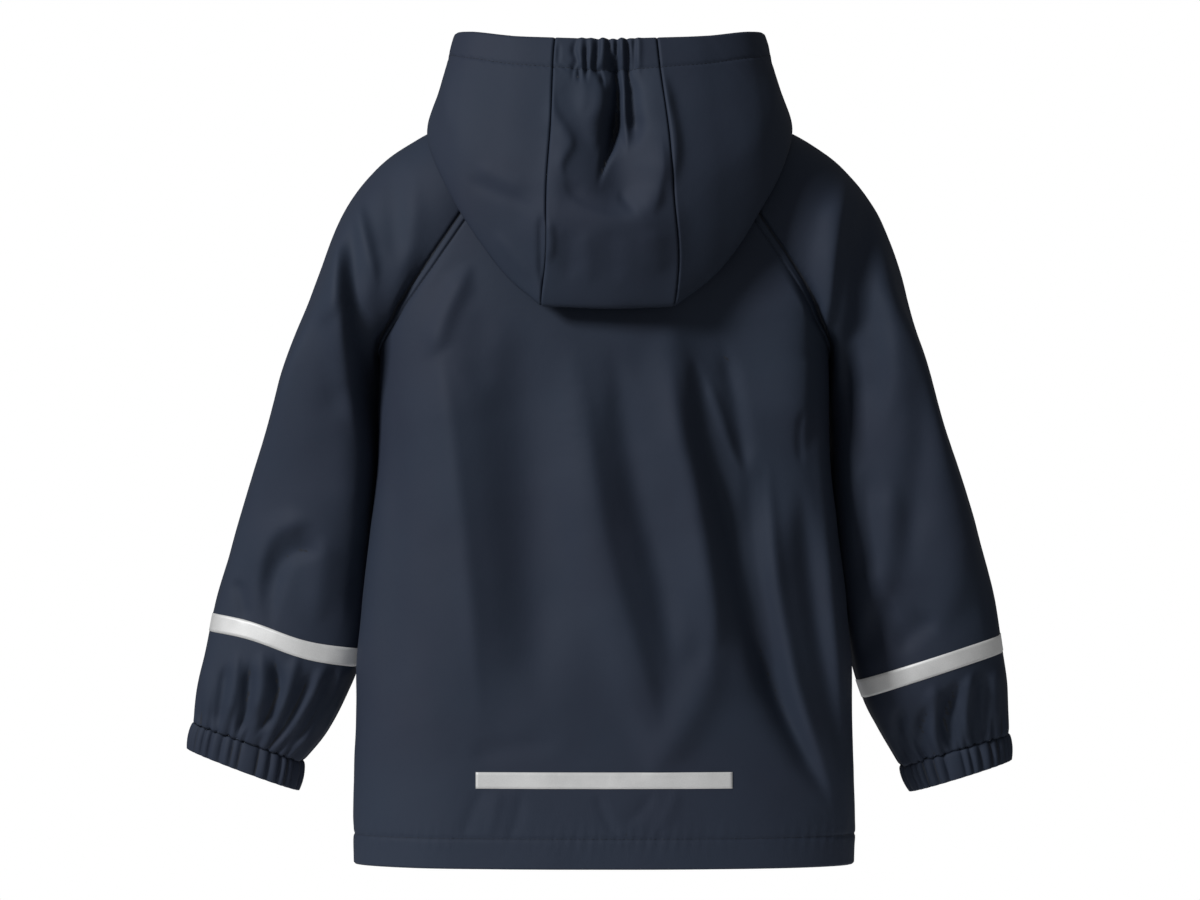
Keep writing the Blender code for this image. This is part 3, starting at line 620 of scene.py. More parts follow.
def front_panel(grid, from_edge, from_seam, seam_column, over):
    """One front with its creases, welt, hem and stitched edge, over or under the other at the centre."""
    grid = leant(grid)
    side = np.abs(grid[..., 0])
    height = creases_at(grid[..., 0], grid[..., 2], front_creases)
    for fade in (ease(from_seam / 16), ease((side - 18) / 30)):
        height *= fade
    height += crumple(grid) * (0.35 + 0.65 * ease((side - 20) / 40)) + foot_of(grid)
    height += side_edges(grid, from_seam, seam_column)
    down = length_of(grid[:, 0])[:, None]
    for line in edge_stitches:
        height += -0.35 * bell(from_edge - line, 0.9) + 0.12 * pucker(down + line, from_edge - line, 7, 3)
    height -= 0.5 * (1 - ease(from_edge / 1.2)) ** 2
    if over:
        height += lap_step * ease((45 - grid[..., 0]) / 22)
    return grid + normals_of(grid) * height[..., None]


def line_at(grid, distances, wanted):
    """The line down a panel at this distance from its edge."""
    order = slice(None) if distances[0, 0] < distances[0, -1] else slice(None, None, -1)
    return np.array([between(wanted, run[order], row[order]) for row, run in zip(grid, distances)])


front_left = front_panel(front_base, from_edge, from_seam, -1, True)
front_right = front_panel(mirrored(front_base), from_edge[:, ::-1], from_seam[:, ::-1], 0, False)
for name, grid, edge, column in (
    ("front_left", front_left, from_edge, -1),
    ("front_right", front_right, from_edge[:, ::-1], 0),
):
    out = normals_of(grid)
    thick = np.maximum(hem_thickness(grid), cloth_thick + 0.5 * (edge < 2.9))
    shell(name + "_cloth", grid, np.minimum(thick, 1.5), name)
    welt_column = -1 - stitch_column if column else stitch_column
    lines = [(grid[line], out[line]) for line in ((welt_rows, welt_column), (hem_row, slice(4, -2)))]
    down = slice(3, hem_row)
    for wanted in edge_stitches:
        lines.append((line_at(grid, edge, wanted)[down], unit(line_at(out, edge, wanted))[down]))
    stitches = stitching("stitching_" + name, lines)


# Sleeves: each is one cut of the same cloth, from the neck over the shoulder to the wrist, closed by a plain
# seam under the arm. Its raglan edges lie under the body's welts, and its wrist is gathered into the cuff.

shoulder = columns(
    "down x y z depth",
    (0.00, 72, -4, 26, 36.6),
    (0.12, 97, -6, 27, 49.5),
    (0.25, 122, -8, 22, 56),
    (0.40, 154, -10, 8, 60.5),
    (0.55, 187, -12, -15, 61.5),
    (0.70, 213.5, -13, -50, 60.5),
    (0.83, 230, -14, -92, 59),
    (0.93, 244, -14, -138, 57.5),
    (1.00, 254, -15, -168, 56),
)
arms = {}
arms["left"] = columns(
    "down outer_x outer_z inner_x inner_z middle_y depth",
    (0.00, 254, -168, 178.2, -171, -15, 56),
    (0.14, 267.5, -214, 180.3, -216, -22, 54),
    (0.30, 284.5, -264, 180.6, -275, -31, 51),
    (0.46, 300.5, -316, 185.8, -336, -36, 48.5),
    (0.64, 315.5, -371, 194.5, -401, -38, 46),
    (0.685, 318.5, -385, 198, -415, -38.5, 45.5),
    (0.76, 322.5, -405, 207, -437, -39, 43.5),
    (0.88, 328, -432, 223, -467, -39, 37),
    (1.00, 330, -459, 243, -490, -39, 27),
)
arms["right"] = columns(
    "down outer_x outer_z inner_x inner_z middle_y depth",
    (0.00, 256, -168, 178.2, -171, -15, 56),
    (0.14, 269.5, -214, 180.3, -216, -22, 54),
    (0.30, 287.5, -264, 180.6, -276, -31, 51),
    (0.46, 303.5, -318, 186.5, -341, -36, 48.5),
    (0.58, 312.5, -352, 193, -383, -38, 47),
    (0.69, 318.5, -387, 203, -425, -38.5, 45.5),
    (0.735, 320.5, -401, 208, -439, -38.5, 45),
    (0.86, 325, -430, 220, -463, -39, 40),
    (1.00, 325.5, -468, 239.5, -494, -39, 27),
)
tape_down = {"left": (0.64, 0.685), "right": (0.69, 0.735)}
gathers = 30  # round each cuff
close_to_sleeve_edge = [0, 0.7, 1.5, 2.5, 3.8, 5.5, 8.0]


def gather_wave(turns):
    """Broad puffs with sharp valleys between, from -1 to 1, unevenly spaced round the wrist."""
    phase = 2 * np.pi * gathers * turns
    for size, waves, start in ((1.2, 3, 1), (1.0, 7, 0), (0.7, 12, 2)):
        phase += size * np.sin(2 * np.pi * waves * turns + start)
    deep = 0.75 + 0.25 * np.sin(2 * np.pi * 5 * turns + 0.6 * np.sin(2 * np.pi * 8 * turns))
    return (2 * np.abs(np.cos(phase / 2)) ** 0.65 - 1) * deep


def raglan_arc(back_point, front_point, down, wider):
    """A fine line over the shoulder from the front seam to the back seam: part of an ellipse."""
    top = point(*(read(shoulder, name, down) for name in "xyz")) + (wider * down**2, 0, 0)
    depth = float(read(shoulder, "depth", down))
    chord = back_point - front_point
    length = np.linalg.norm(chord)
    start = math.asin(min(length / (2 * depth), 1.0))
    toward_top = (top - (back_point + front_point) / 2) / (1 + math.cos(start))
    angles = (start + (2 * math.pi - 2 * start) * np.linspace(0, 1, 400))[:, None]
    return top - toward_top - toward_top * np.cos(angles) - depth * chord / length * np.sin(angles)


def arm_ring(table, down):
    """A fine line round the arm from the underarm seam, forwards."""
    outer, inner = (
        point(read(table, end + "_x", down), read(table, "middle_y", down), read(table, end + "_z", down))
        for end in ("outer", "inner")
    )
    angles = np.linspace(0, 2 * math.pi, 400)[:, None]
    depth = point(0, read(table, "depth", down), 0)
    return (outer + inner) / 2 - (outer - inner) / 2 * np.cos(angles) - depth * np.sin(angles)


def sleeve_rows(side):
    """One sleeve in its left-hand form, its distances from both edges, and each row's place down the arm."""
    table = arms[side]
    tape = tape_down[side]
    tube = spaced((0, tape[0], 68), (*tape, 6), (tape[1], 0.93, 23), (0.93, 1, 8))
    wider = table["outer_x"][0] - shoulder["x"][-1]
    rows = []
    for k, down in enumerate(raglan_down[:-1]):
        line = raglan_arc(back_base[k, 0], front_base[k, -1], down, wider)
        rows.append(resampled(line, close_to_sleeve_edge, 137))
    top, *distances = resampled(arm_ring(table, 0.0), close_to_sleeve_edge, 137)
    settle = (2 * rows[-1][0] - rows[-2][0] - top) * ease(np.minimum(*distances) / 40)[:, None]
    for down in tube:
        line, *distances = resampled(arm_ring(table, down), close_to_sleeve_edge, 137)
        rows.append((line + settle * (1 - ease(down / 0.4)), *distances))
    return (*(np.array(part) for part in zip(*rows)), np.concatenate([raglan_down[:-1] - 1, tube]))


sleeve_creases = {}
sleeve_creases["left"] = (
    (9.0, 46, 10, (196, 0), (197, -150), (200, -260), (214, -400)),
    (-10.0, 8, 9, (200, -42), (199, -96), (195, -144), (187, -192), (180, -232), (176, -284)),
    (8.0, 11, 9, (211, -46), (214, -96), (211, -144), (204, -192), (196, -244)),
    (3.4, 5, 5, (200, -36), (190, -72), (181, -114)),
    (3.6, 6, 6, (213, -64), (213, -100), (217, -124), (230, -142)),
    (-3.6, 11, 11, (168, -4), (167, -52), (163, -96)),
    (2.6, 10, 10, (151, -14), (156, -68), (163, -108), (175, -142)),
    (4.0, 16, 16, (204, -186), (202, -248), (206, -306)),
    (4.6, 10, 8, (230, -298), (252, -300), (267, -310), (275, -330), (280, -380)),
    (-5.6, 10, 7, (222, -322), (242, -320), (256, -328), (264, -348), (268, -392)),
    (-3.0, 12, 12, (188, -296), (195, -336), (201, -380)),
    (2.8, 11, 11, (222, -306), (227, -340), (231, -384)),
    (-2.8, 5, 5, (293, -342), (289, -360), (286, -380)),
    (-6.6, 4, 5, (265, -401), (261, -430), (267, -450), (280, -470)),
    (-5.7, 4, 4, (282, -406), (286, -445), (294, -470)),
    (-4.5, 4, 4, (300, -408), (305, -440), (311, -465)),
    (-5.7, 5, 4, (231, -414), (248, -448), (269, -480)),
    (-5.1, 5, 4, (213, -408), (226, -438), (242, -462), (260, -483)),
    (-3.6, 4, 4, (323, -416), (320, -464)),
    (-4.8, 5, 4, (200, -410), (221, -450), (240, -486)),
    (4.5, 5, 5, (274, -398), (274, -430), (280, -456)),
    (3.9, 5, 5, (244, -402), (253, -430), (266, -464)),
    (3.6, 5, 4, (292, -398), (295, -430), (302, -460)),
    (3.3, 5, 5, (221, -406), (236, -440), (254, -474)),
    (-4.0, 12, 12, (-200, -60), (-206, -110), (-196, -170)),
    (4.4, 14, 14, (-230, -100), (-240, -190), (-248, -270)),
    (-4.4, 11, 11, (-208, -190), (-222, -280), (-236, -356)),
    (-3.6, 8, 6, (-262, -296), (-276, -330), (-286, -372)),
    (2.8, 9, 9, (-252, -290), (-264, -330), (-272, -376)),
    (-5.4, 5, 5, (-228, -408), (-246, -446), (-262, -480)),
    (-5.4, 5, 5, (-260, -400), (-270, -440), (-280, -472)),
    (-4.8, 5, 5, (-296, -406), (-300, -440), (-304, -466)),
    (-4.5, 5, 5, (-210, -412), (-228, -448), (-248, -486)),
    (3.9, 5, 5, (-246, -404), (-258, -436), (-270, -468)),
)
sleeve_creases["right"] = (
    (9.0, 46, 10, (-250, -90), (-270, -190), (-286, -290), (-302, -410)),
    (8.0, 22, 26, (-196, -120), (-198, -240), (-203, -330), (-210, -430)),
    (8.0, 14, 6, (-194, -14), (-188, -56), (-183, -92), (-179, -128), (-175, -164)),
    (-10.0, 9, 13, (-213, -14), (-209, -56), (-206, -92), (-204, -128),
     (-200, -152), (-200, -184), (-202, -246)),
    (-3.8, 14, 14, (-198, -156), (-203, -208), (-208, -240), (-211, -306)),
    (2.6, 10, 10, (-227, -60), (-229, -120), (-231, -160), (-226, -232)),
    (-4.0, 11, 11, (-213, -104), (-216, -150), (-217, -180), (-214, -232)),
    (2.0, 12, 12, (-231, -90), (-237, -150), (-243, -232), (-233, -336)),
    (-5.2, 15, 13, (-250, -164), (-251, -232), (-247, -272), (-244, -346)),
    (5.0, 20, 16, (-262, -172), (-278, -256), (-283, -304), (-279, -348), (-264, -394)),
    (3.6, 11, 11, (-231, -260), (-226, -320), (-223, -366)),
    (-2.8, 9, 9, (-215, -246), (-211, -304), (-210, -354)),
    (-2.8, 9, 10, (-228, -356), (-218, -380), (-208, -414)),
    (-3.4, 11, 7, (-266, -372), (-248, -386), (-232, -402)),
    (-7.2, 5, 5, (-284, -422), (-276, -444), (-273, -460), (-282, -490)),
    (-5.1, 5, 5, (-260, -440), (-254, -470), (-262, -494)),
    (-4.8, 5, 5, (-302, -412), (-300, -448), (-298, -482)),
    (4.8, 5, 5, (-293, -415), (-290, -444), (-288, -478)),
    (3.9, 5, 5, (-312, -410), (-310, -464)),
    (3.6, 6, 6, (-264, -424), (-264, -452), (-268, -486)),
    (-4.5, 5, 5, (-238, -442), (-238, -468), (-250, -496)),
    (-4.0, 12, 12, (200, -60), (206, -110), (196, -170)),
    (4.4, 14, 14, (230, -100), (240, -190), (248, -270)),
    (-4.4, 11, 11, (208, -190), (222, -280), (236, -356)),
    (-3.6, 9, 7, (256, -286), (274, -330), (284, -376)),
    (2.8, 9, 9, (248, -290), (260, -330), (268, -380)),
    (-5.1, 5, 5, (230, -428), (246, -462), (262, -488)),
    (-5.1, 5, 5, (264, -420), (272, -450), (280, -480)),
    (-4.8, 5, 5, (298, -410), (300, -446), (302, -472)),
    (3.9, 5, 5, (248, -424), (260, -456), (272, -482)),
)
tuck = 5  # the sleeve's edge lies under this column of the body's panels, counted from their edge
tucked = {
    "left": ((front_left, -1 - tuck, 0), (back, tuck, -1)),
    "right": ((front_right, tuck, -1), (back, -1 - tuck, 0)),
}
lift = {"left": 0.0, "right": 9.0}  # how far each arm hangs back of its first place
sleeves = {}
for side in ("left", "right"):
    grid, from_front, from_back, down = sleeve_rows(side)
    turns = from_front / (from_front + from_back)
    if side == "right":
        grid = mirrored(grid)
        from_front, from_back, turns = (part[:, ::-1] for part in (from_front, from_back, turns))
    grid = leant(grid)
    off = np.minimum(from_front, from_back)
    for _ in range(60):  # evens out the bend from the shoulder into the arm
        even = (grid[:-2] + grid[2:]) / 2 - grid[1:-1]
        grid[1:-1] += even * 0.5 * (bell(down[1:-1], 0.1)[:, None] * ease(off[1:-1] / 30))[..., None]
    if side == "left":
        uneven = 2.2 * np.sin((grid[..., 0] - 262) / 16)  # the tape's edges aren't quite straight
        grid[..., 2] += uneven * bell(down - 0.66, 0.09)[:, None] * (grid[..., 1] > -38)
    out = normals_of(grid)
    seen = ease((np.abs(out[..., 1]) - 0.06) / 0.5)
    flat = seen * bell(np.abs(out[..., 1]) - 0.66, 0.28) * ease((down + 0.5) / 0.5)[:, None]
    behind = creases_at(*as_seen(grid), sleeve_creases[side]) * (out[..., 1] > 0)
    before = creases_at(-grid[..., 0], grid[..., 2], sleeve_creases[side]) * (out[..., 1] < 0)
    free = np.maximum(ease(off / 25), ease(down / 0.12)[:, None])
    above_cuff = ease((0.95 - down) / 0.3)
    turned = 0.13 * free * (grid[..., 0] - grid[..., 0].mean(1, keepdims=True))
    turned *= (ease((down + 0.1) / 0.3) * above_cuff)[:, None]
    lifted = lift[side] * free * (ease(down / 0.3) * above_cuff)[:, None]
    sunk = point(0, (behind - before) * seen * ease(off / 9) - turned + lifted, 0)
    height = 4.0 * flat * ease(off / 9) + crumple(grid) * ease(off / 6)
    above = (1 - ease((down + 0.02) / 0.02))[:, None]
    puckers = 0.25 * pucker(length_of(grid[:, 0])[:, None], off, 8, 7)
    height += above * (-1.9 * (1 - ease(off / 3.6)) + puckers)
    height += (1 - above) * (plain_seam(off) + 2.2 * bell(down - 0.14, 0.12)[:, None] * (1 - ease(off / 22)))
    height += 1.7 * gather_wave(turns) * (bell(1 - down, 0.09) * (down > 0))[:, None]
    height -= 0.8 * (ease((down - 0.985) / 0.015) ** 2)[:, None]
    grid = grid + out * height[..., None] + sunk
    for panel, panel_column, column in tucked[side]:
        under = panel - 1.7 * normals_of(panel)
        grid[: underarm - 1, column] = under[: underarm - 1, panel_column]
    made = shell(f"sleeve_{side}_cloth", grid, cloth_thick, "sleeve_" + side)
    sleeves[side] = (grid, down)


# Cuffs: a band of the same cloth folded over elastic, which draws it up into short uneven puffs. Each is sewn
# to the end of its sleeve and turned in at its free end.

cuff_ends = {
    "left": {"outer_x": 335.5, "outer_z": -481, "inner_x": 247, "inner_z": -514},
    "right": {"outer_x": 328, "outer_z": -490, "inner_x": 247.5, "inner_z": -515},
}
cuff_depth = 26.0
cuff_profile = []  # how far down the cuff, and how far in: the outside, the fold at the wrist and the inside
for share in np.linspace(0, 0.97, 17):
    cuff_profile.append((share, 0.9 * (1 - ease(share / 0.1)) - 1.4 * math.sin(math.pi * share**0.8) ** 0.7))
for bend in np.linspace(0.35, math.pi - 0.2, 7):
    cuff_profile.append((0.99 + 0.03 * math.sin(bend), 1.1 - 1.3 * math.cos(bend)))
for share in (0.93, 0.8, 0.65, 0.5, 0.35):
    cuff_profile.append((share, 2.4))


def toward(start, end, share):
    return start + (end - start) * share


for side in ("left", "right"):
    table, last = arms[side], cuff_ends[side]
    turns = np.arange(gathers * 9) / (gathers * 9)
    angles = (2 * math.pi * turns)[:, None]
    rows = []
    for share, inward in cuff_profile:
        ends = {}
        for name in ("outer", "inner"):
            x, z = (toward(table[name + axis][-1], last[name + axis], share) for axis in ("_x", "_z"))
            ends[name] = point(x, table["middle_y"][-1], z)
        across = (ends["outer"] - ends["inner"]) / 2
        depth = point(0, toward(table["depth"][-1], cuff_depth, share), 0)
        ring = (ends["outer"] + ends["inner"]) / 2 - across * np.cos(angles) - depth * np.sin(angles)
        wide = -unit(across) * np.cos(angles) / np.linalg.norm(across)
        outward = unit(wide - point(0, 1, 0) * np.sin(angles) / depth[1])
        puff = 2.3 * gather_wave(turns) * (0.55 + 0.45 * math.sin(math.pi * min(share, 1.0) * 0.8 + 0.2))
        rows.append(ring + outward * (puff - inward)[:, None])
    grid = np.array(rows)
    if side == "right":
        grid = mirrored(grid)
    made = shell(f"cuff_{side}_cloth", grid, 0.7, "cuff_" + side, ring=True)


# Hood: a centre strip and two sides of the same cloth, sewn to the neck and hanging open down the back as a
# pouch. The rim is turned over into a 22 mm casing, whose elastic gathers the middle of it.

hood_stand = columns(
    "side seam x y z",
    (0.00, 0.00, 0, 53, 12),
    (0.20, 0.13, 28, 50, 15),
    (0.35, 0.22, 46, 44, 19),
    (0.50, 0.31, 62, 33, 27),
    (0.65, 0.42, 74, 14, 34),
    (0.72, 0.48, 77, 3, 36),
    (0.85, 0.64, 71, -27, 30),
    (1.00, 1.00, 1.2, -65, -13),
)
hood_under = columns(
    "side x y z",
    (0.00, 0, 73, -52),
    (0.20, 33, 72.5, -52),
    (0.35, 66, 70, -40),
    (0.50, 96, 58, -12),
    (0.65, 114, 27, 31),
    (0.72, 115, 4, 36),
    (0.85, 96, -34, 32),
    (1.00, 1.4, -70, -7),
)
hood_fold = columns(
    "side x y z",
    (0.00, 0, 96, -130),
    (0.20, 52, 92, -128.5),
    (0.35, 84, 83, -101),
    (0.50, 118, 75, -52),
    (0.65, 143.5, 40, 3),
    (0.72, 144, 8, 19),
    (0.85, 124, -38, 32),
    (1.00, 1.6, -73, -1),
)
hood_outside = columns(
    "side x y z",
    (0.00, 0, 117, -35),
    (0.20, 50, 113, -35),
    (0.35, 86, 102, -25),
    (0.50, 122, 80, 8),
    (0.65, 134, 42, 46),
    (0.72, 135, 8, 50),
    (0.85, 120, -42, 48),
    (1.00, 1.8, -74, 5),
)
hood_rim = columns(
    "side x y z",
    (0.00, 0, 88, 83),
    (0.20, 40, 86, 84),
    (0.35, 76, 77, 86),
    (0.50, 111, 54, 91),
    (0.65, 124, 14, 90),
    (0.72, 122, -6, 84),
    (0.85, 106, -46, 66),
    (1.00, 2.0, -75, 12),
)
hood_centre_side = 0.20  # the centre strip reaches this far to each side, where 1 is the centre front
casing = 22.0
hood_creases = (
    (2.4, 7, 4, (41, 60), (41, 38), (39, 28), (33, 19), (28, 11), (27, 4), (31, -3), (34, -10),
     (33, -18), (28, -30)),
    (-2.0, 4, 8, (34, -22), (25, -33), (16, -40), (5, -45), (-8, -49), (-24, -52)),
    (-11.0, 22, 22, (-3, 40), (-8, 5), (-13, -25), (-18, -60)),
    (-8.0, 18, 18, (-11, 84), (-10, 40), (-6, -8)),
    (6.0, 34, 24, (74, -58), (-74, -60)),
    (5.0, 10, 6, (6, 74), (3, 48), (3, 34), (4, 21), (6, 12), (9, -2)),
    (-12.0, 5, 2.6, (-9, 78), (-11.5, 54), (-11.5, 40), (-10.5, 25), (-9, 14), (-6, 3), (-1, -10), (6, -32)),
    (4.2, 3.4, 3, (-15, 68), (-15.7, 50), (-16, 35), (-16.6, 25), (-18, 10), (-19, -4)),
    (-6.5, 5, 6, (-20, 68), (-22, 50), (-23, 38), (-24, 30), (-25.5, 16), (-24, -2)),
    (3.0, 20, 7, (-44, 70), (-48, 40), (-53, 12), (-53, -14), (-48, -42)),
    (3.4, 16, 5, (-46, 12), (-47, -14), (-44, -28), (-42, -40), (-37, -54)),
    (-1.4, 4, 4, (-12, -32), (-18, -42), (-27, -52)),
    (2.6, 11, 11, (36, 20), (35, 0), (38, -20), (36, -50)),
    (-1.2, 9, 9, (28, 60), (27, 38), (22, 24), (13, 10)),
    (1.2, 5, 5, (15, 62), (16, 44), (18, 28)),
    (2.6, 4, 4, (45, -54), (43, -72), (44, -92)),
    (-3.2, 3, 2.4, (50, -48), (50, -68), (50, -90), (50, -118)),
    (2.0, 3, 3.4, (-48, 64), (-52, 40), (-56, 20), (-58, 0), (-58, -28)),
    (1.0, 7, 7, (15, -62), (13, -86), (12, -110)),
    (-1.0, 7, 7, (28, -62), (28, -84), (29, -108)),
    (1.2, 10, 10, (-40, -62), (-42, -80), (-44, -102)),
    (-1.0, 9, 9, (-6, -60), (-6, -84), (-8, -108)),
    (-1.2, 6, 5, (112, -22), (86, -34), (54, -46)),
    (1.2, 6, 6, (104, -12), (82, -22), (58, -32)),
    (1.2, 5, 5, (90, -64), (72, -86), (56, -106)),
)
rim_gathers = (
    (-2.4, 2.6, 1.5, (20, 92), (24, 80), (21, 72), (24, 66), (26, 54)),
    (-2.2, 2.0, 1.4, (20, 70), (20, 62), (20, 55)),
    (-3.0, 2.4, 1.6, (13, 88), (14, 76), (14, 66), (14, 54)),
    (-3.8, 3.0, 1.8, (4, 94), (5, 78), (7, 68), (4, 58)),
    (-2.4, 2.4, 1.5, (5, 68), (2, 60), (0, 50)),
    (-3.4, 2.6, 1.8, (-4, 94), (-5, 80), (-7, 72), (-4, 58)),
    (-4.8, 3.0, 1.8, (-11, 94), (-10.5, 78), (-10, 66), (-9.5, 48)),
    (-1.2, 2.0, 1.6, (36, 86), (36, 76), (37, 68)),
    (-4.4, 2.6, 1.8, (-18, 94), (-19.5, 78), (-20, 66), (-20.5, 50)),
    (-2.6, 2.4, 1.6, (-25, 92), (-24.5, 76), (-24.5, 60)),
    (2.4, 3, 3, (0.5, 94), (1.5, 78), (0.5, 62)),
    (2.0, 2.6, 2.6, (-14, 94), (-14.5, 78), (-15, 60)),
    (1.8, 2.6, 2.6, (17, 94), (18.5, 78), (17, 60)),
    (1.6, 2.6, 2.6, (10, 94), (11, 78), (11, 58)),
    (1.4, 2.6, 2.6, (-28, 94), (-27.5, 76), (-28, 58)),
)


# Half the neckline, from the centre back round the wearer's left to the centre front.
back_half = back_base[0, : back_base.shape[1] // 2 + 1][::-1]
beside = raglan_arc(back_base[0, 0], front_base[0, -1], 0.0, 0.0)[::-1]
before = front_base[0, ::-1][front_base[0, ::-1, 0] > 1.0]
neck_line = np.concatenate([back_half, beside[1:-1], before])
neck_run = length_of(neck_line)


def cornered(table, column, way):
    """A column of a hood table, smooth but for a corner at the seam between the centre strip and the side."""
    sides, values = table["side"], table[column]
    if way > hood_centre_side:
        return smooth(way, sides[1:], values[1:])
    other_side = -values[1] if column == "x" else values[1]
    return smooth(way, (-sides[1], 0, sides[1]), (other_side, values[0], values[1]))


def rib(side):
    """A fine line down the hood at this place, from the rim over the fold to the neck seam, and how far each
    point is from the rim."""
    way = abs(side)
    deeper = 1 + 0.17 * bell(side, 0.3)  # the casing is wider in the middle
    seam_at = float(read(hood_stand, "seam", way)) * neck_run[-1]
    knots = [between(seam_at, neck_run, neck_line) + (0, 0, 0.5)]
    for table in (hood_stand, hood_under, hood_fold, hood_outside, hood_rim):
        knots.append(point(*(cornered(table, name, way) for name in "xyz")))
    knots = np.array(knots)
    places = np.concatenate([[0], np.cumsum(np.linalg.norm(np.diff(knots, axis=0), axis=1) ** 0.5)])
    fine = np.linspace(0, places[-1], 600)
    line = np.stack([smooth(fine, places, knots[:, k]) for k in range(3)], -1)[::-1]
    run = length_of(line)
    whole = run[-1]
    rim = np.array([0, 0.5, 1.2, 2.4, 4.5, 7, 9.5, 12, 14.5, 17, 19, 20.4, 21.3, 22, 22.7, 23.6, 25])
    rim = rim * min(deeper, whole / 30)
    foot = whole - np.array([2.5, 1.2, 0.5, 0]) * min(1.0, whole / 60)
    lengths = np.concatenate([rim, np.linspace(rim[-1], foot[0], 112)[1:-1], foot])
    return between(lengths, run, line) * (1 if side >= 0 else -1, 1, 1), lengths / deeper


close_to_hood_seam = np.array([0, 0.0026, 0.0057, 0.0096, 0.0157, 0.024])
side_ribs, centre_ribs = 85, 35  # on a side panel, and on half the centre strip
hood_sides = np.concatenate(
    [
        np.linspace(1, hood_centre_side + close_to_hood_seam[-1], side_ribs + 1),
        hood_centre_side + close_to_hood_seam[-2::-1],
        hood_centre_side - close_to_hood_seam[1:],
        np.linspace(hood_centre_side - close_to_hood_seam[-1], 0, centre_ribs + 1)[1:],
    ]
)
seam = side_ribs + len(close_to_hood_seam) - 1
ribs = [rib(side) for side in (*hood_sides, *-hood_sides[-2::-1])]
whole_hood, rim_reach = (np.stack(part, 1) for part in zip(*ribs))
whole_hood = leant(whole_hood)
x, z = whole_hood[..., 0], whole_hood[..., 2]
# The back of the hood hangs a little to one side.
whole_hood[..., 0] += (4 * ease(z / 80) - 3 * bell(z + 85, 30)) * bell(x, 75) * (whole_hood[..., 1] > 76)
out = normals_of(whole_hood)
x, z = as_seen(whole_hood)
folded = creases_at(x, z, hood_creases) * ease((out[..., 1] - 0.05) / 0.3) * (whole_hood[..., 1] > 40)
folded *= ease((rim_reach - 4) / 10)
gathered = creases_at(x, z, rim_gathers) * (rim_reach < 45)
height = gathered + crumple(whole_hood) * ease(rim_reach / 12)
height += 0.7 * np.sin(np.pi * np.clip(rim_reach / casing, 0, 1)) - 0.6 * bell(rim_reach - casing, 1.1)
height += 0.25 * pucker(x - z, rim_reach - casing, 7, 7) - 0.9 * (1 - ease(rim_reach / 1.8)) ** 2
steps = np.linalg.norm(np.diff(whole_hood, axis=1), axis=2)
run = np.concatenate([np.zeros((len(whole_hood), 1)), np.cumsum(steps, axis=1)], axis=1)
for column in (seam, -1 - seam):
    off = np.abs(run - run[:, column][:, None])
    height += plain_seam(off) - 1.3 * (1 - ease(off / 1.2)) + 0.12 * pucker(rim_reach, off, 8, 5)
pulled = 0.3 * gathered * (1 - ease(rim_reach / 7))
whole_hood = whole_hood + out * height[..., None] + point(0, folded, pulled)
for name, part, flat, area in (
    ("hood_left", slice(0, seam + 1), (0.34, 0.40), 0.052),
    ("hood_centre", slice(seam, -seam), (0.13, 0.42), 0.038),
    ("hood_right", slice(-1 - seam, None), (0.34, 0.40), 0.052),
):
    grid, lengths = whole_hood[:, part], rim_reach[:, part]
    made = shell(name + "_cloth", grid, cloth_thick + 0.8 * (lengths < casing), name)
    row = int(np.argmin(np.abs(lengths[:, lengths.shape[1] // 2] - casing)))
    stitches = stitching("stitching_" + name, [(grid[row], normals_of(grid)[row])])


# Reflective tapes: strips of silver film full of glass beads, 13 mm wide. They are pressed on, one round each
# sleeve below the elbow and one across the back.

# Painted light: the tape glows faintly, a painted glow that stands in for the bright light its glass beads
# send back.
silver_tape = Finish("silver_tape", 0.55, Specular_IOR_Level=0.5, Metallic=0.3, Emission_Strength=0.07)
beads_and_glints = silver_tape.noise(0.0006, 2.0, 0.7)
patches = silver_tape.noise(0.022, 2.0)
silver_tape.vary(
    Base_Color=silver_tape.colour(0.45 * beads_and_glints + 0.55 * patches, (0.50, 0.51, 0.51), (1.0, 1.0, 1.0)),
    # painted glints: the glow is grainy, brighter at the beads
    Emission_Color=silver_tape.colour(beads_and_glints, (0.6, 0.6, 0.6), (1.0, 1.0, 1.0)),
    Normal=silver_tape.bump(beads_and_glints, 0.00006),
)


def tape(name, grid, flat):
    """A strip of film on the surface of this grid."""
    proud, thick = 0.5, 0.3
    grid = grid + normals_of(grid) * proud
    made = shell(f"tape_{name}_film", grid, thick, "tape_" + name, slot="reflective_tape", finish=silver_tape)


for side in ("left", "right"):
    grid, down = sleeves[side]
    rows = (down >= tape_down[side][0] - 1e-9) & (down <= tape_down[side][1] + 1e-9)
    tape("sleeve_" + side, grid[rows], (0.35, 0.015))
first = underarm + rows_to_tape
across = np.linspace(101, -101, 91)
tape_rows = back[first : first + rows_on_tape + 1]
tape("back", np.array([between(-across, -row[:, 0], row) for row in tape_rows]), (0.202, 0.013))


# Press studs: five caps of moulded navy plastic down the lapped front. Each is riveted through the cloth, and
# its socket is hidden under the lap.

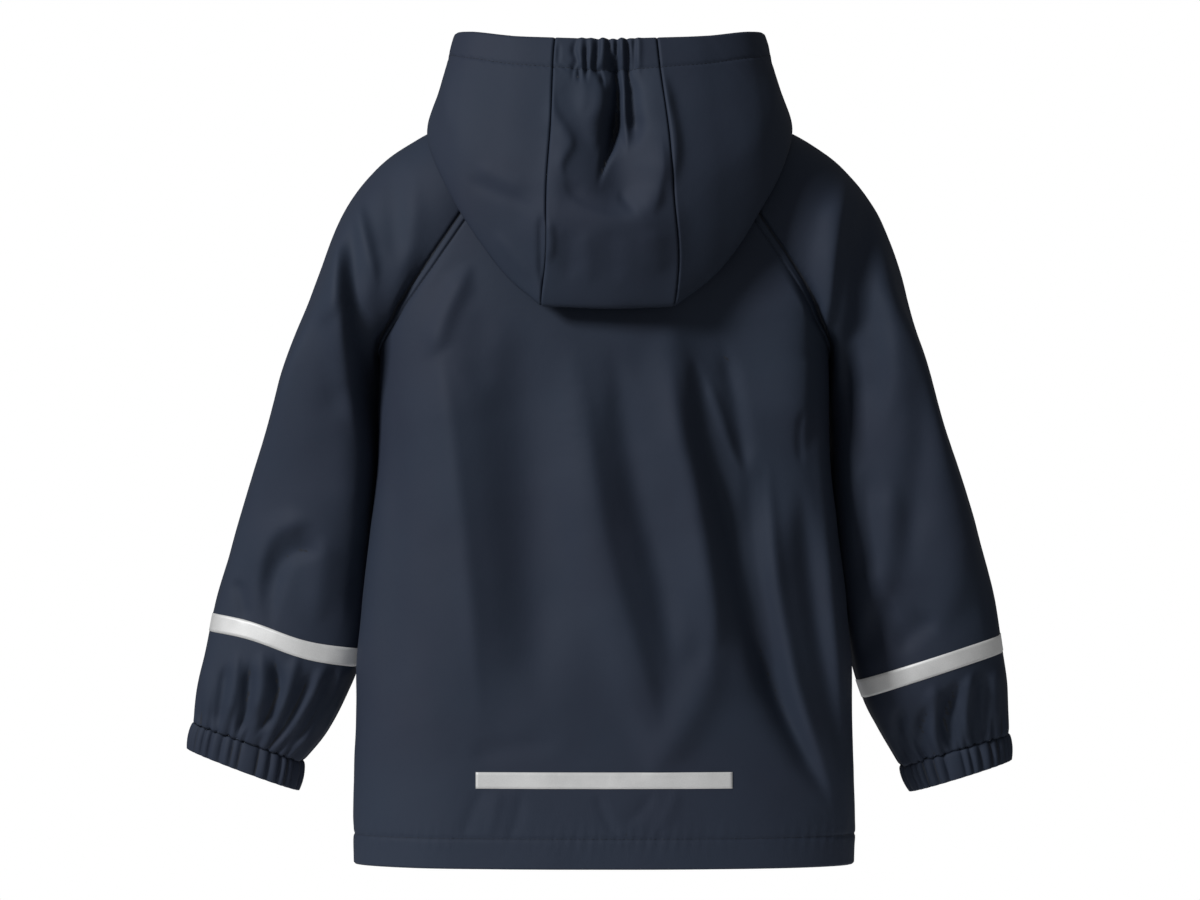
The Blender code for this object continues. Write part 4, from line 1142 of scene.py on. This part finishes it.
stud_plastic = Finish("stud_plastic", 0.33, Specular_IOR_Level=0.5)
mottle = stud_plastic.noise(0.004, 2.0)
stud_plastic.vary(
    Base_Color=stud_plastic.colour(mottle, (0.016, 0.021, 0.033), (0.023, 0.030, 0.046)),
    Roughness=0.28 + 0.12 * mottle,
)
cap = (  # radius and height of each ring, from the top to the foot
    (0.01, 1.45), (1.6, 1.5), (3.2, 1.62), (4.4, 1.7), (5.3, 1.55), (6.1, 1.1), (6.5, 0.5), (6.5, 0.0),
    (6.1, -0.3), (0.01, -0.3),
)
around = np.linspace(0, 2 * np.pi, 41)[:-1]
centre_line = np.array([between(0.0, row[:, 0], row) for row in front_left])
for number, z in enumerate(np.linspace(-62, -510, 5), 1):
    seat = between(-z, -centre_line[:, 2], centre_line)
    k = int(np.argmin(np.abs(centre_line[:, 2] - z)))
    up = unit(centre_line[k - 2] - centre_line[k + 2])
    out = unit(np.cross(point(1, 0, 0), up))
    side = np.cross(up, out)
    points = []
    for radius, height in cap:
        middle = seat + out * (height + 0.1)
        points += [middle + radius * (side * math.cos(a) + up * math.sin(a)) for a in around]
    faces = tube_faces(0, len(cap), len(around), -1)
    stud = placed(f"stud_{number}", points, faces, "snap_plastic", stud_plastic)
    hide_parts(f"snap_{number}")


# Floor: a plain pale matt disc under the coat, which isn't a part of it. It is solid below the coat and fades
# into the white of the studio toward its edge.

floor_radius = 0.68
bpy.ops.mesh.primitive_circle_add(vertices=96, radius=floor_radius, fill_type="NGON", location=(0, 0, -0.66))
floor = bpy.context.object
floor.name = "floor"
pale = Finish("pale_floor", 0.8, Specular_IOR_Level=0.1)
speckle = pale.noise(0.02, 2.0)
place = pale.node("ShaderNodeTexCoord", output="Object")
out_from_middle = pale.node("ShaderNodeVectorMath", {"operation": "LENGTH"}, {0: place}, output=1)
fade = {"From Min": 0.2, "From Max": floor_radius - 0.01, "To Min": 1.0, "To Max": 0.0}
edge = pale.node(
    "ShaderNodeMapRange", {"interpolation_type": "SMOOTHERSTEP"}, {"Value": out_from_middle, **fade}
)
pale.vary(Base_Color=pale.colour(speckle, (0.93, 0.93, 0.93), (0.96, 0.96, 0.96)), Alpha=edge)
floor.data.materials.append(pale.material)
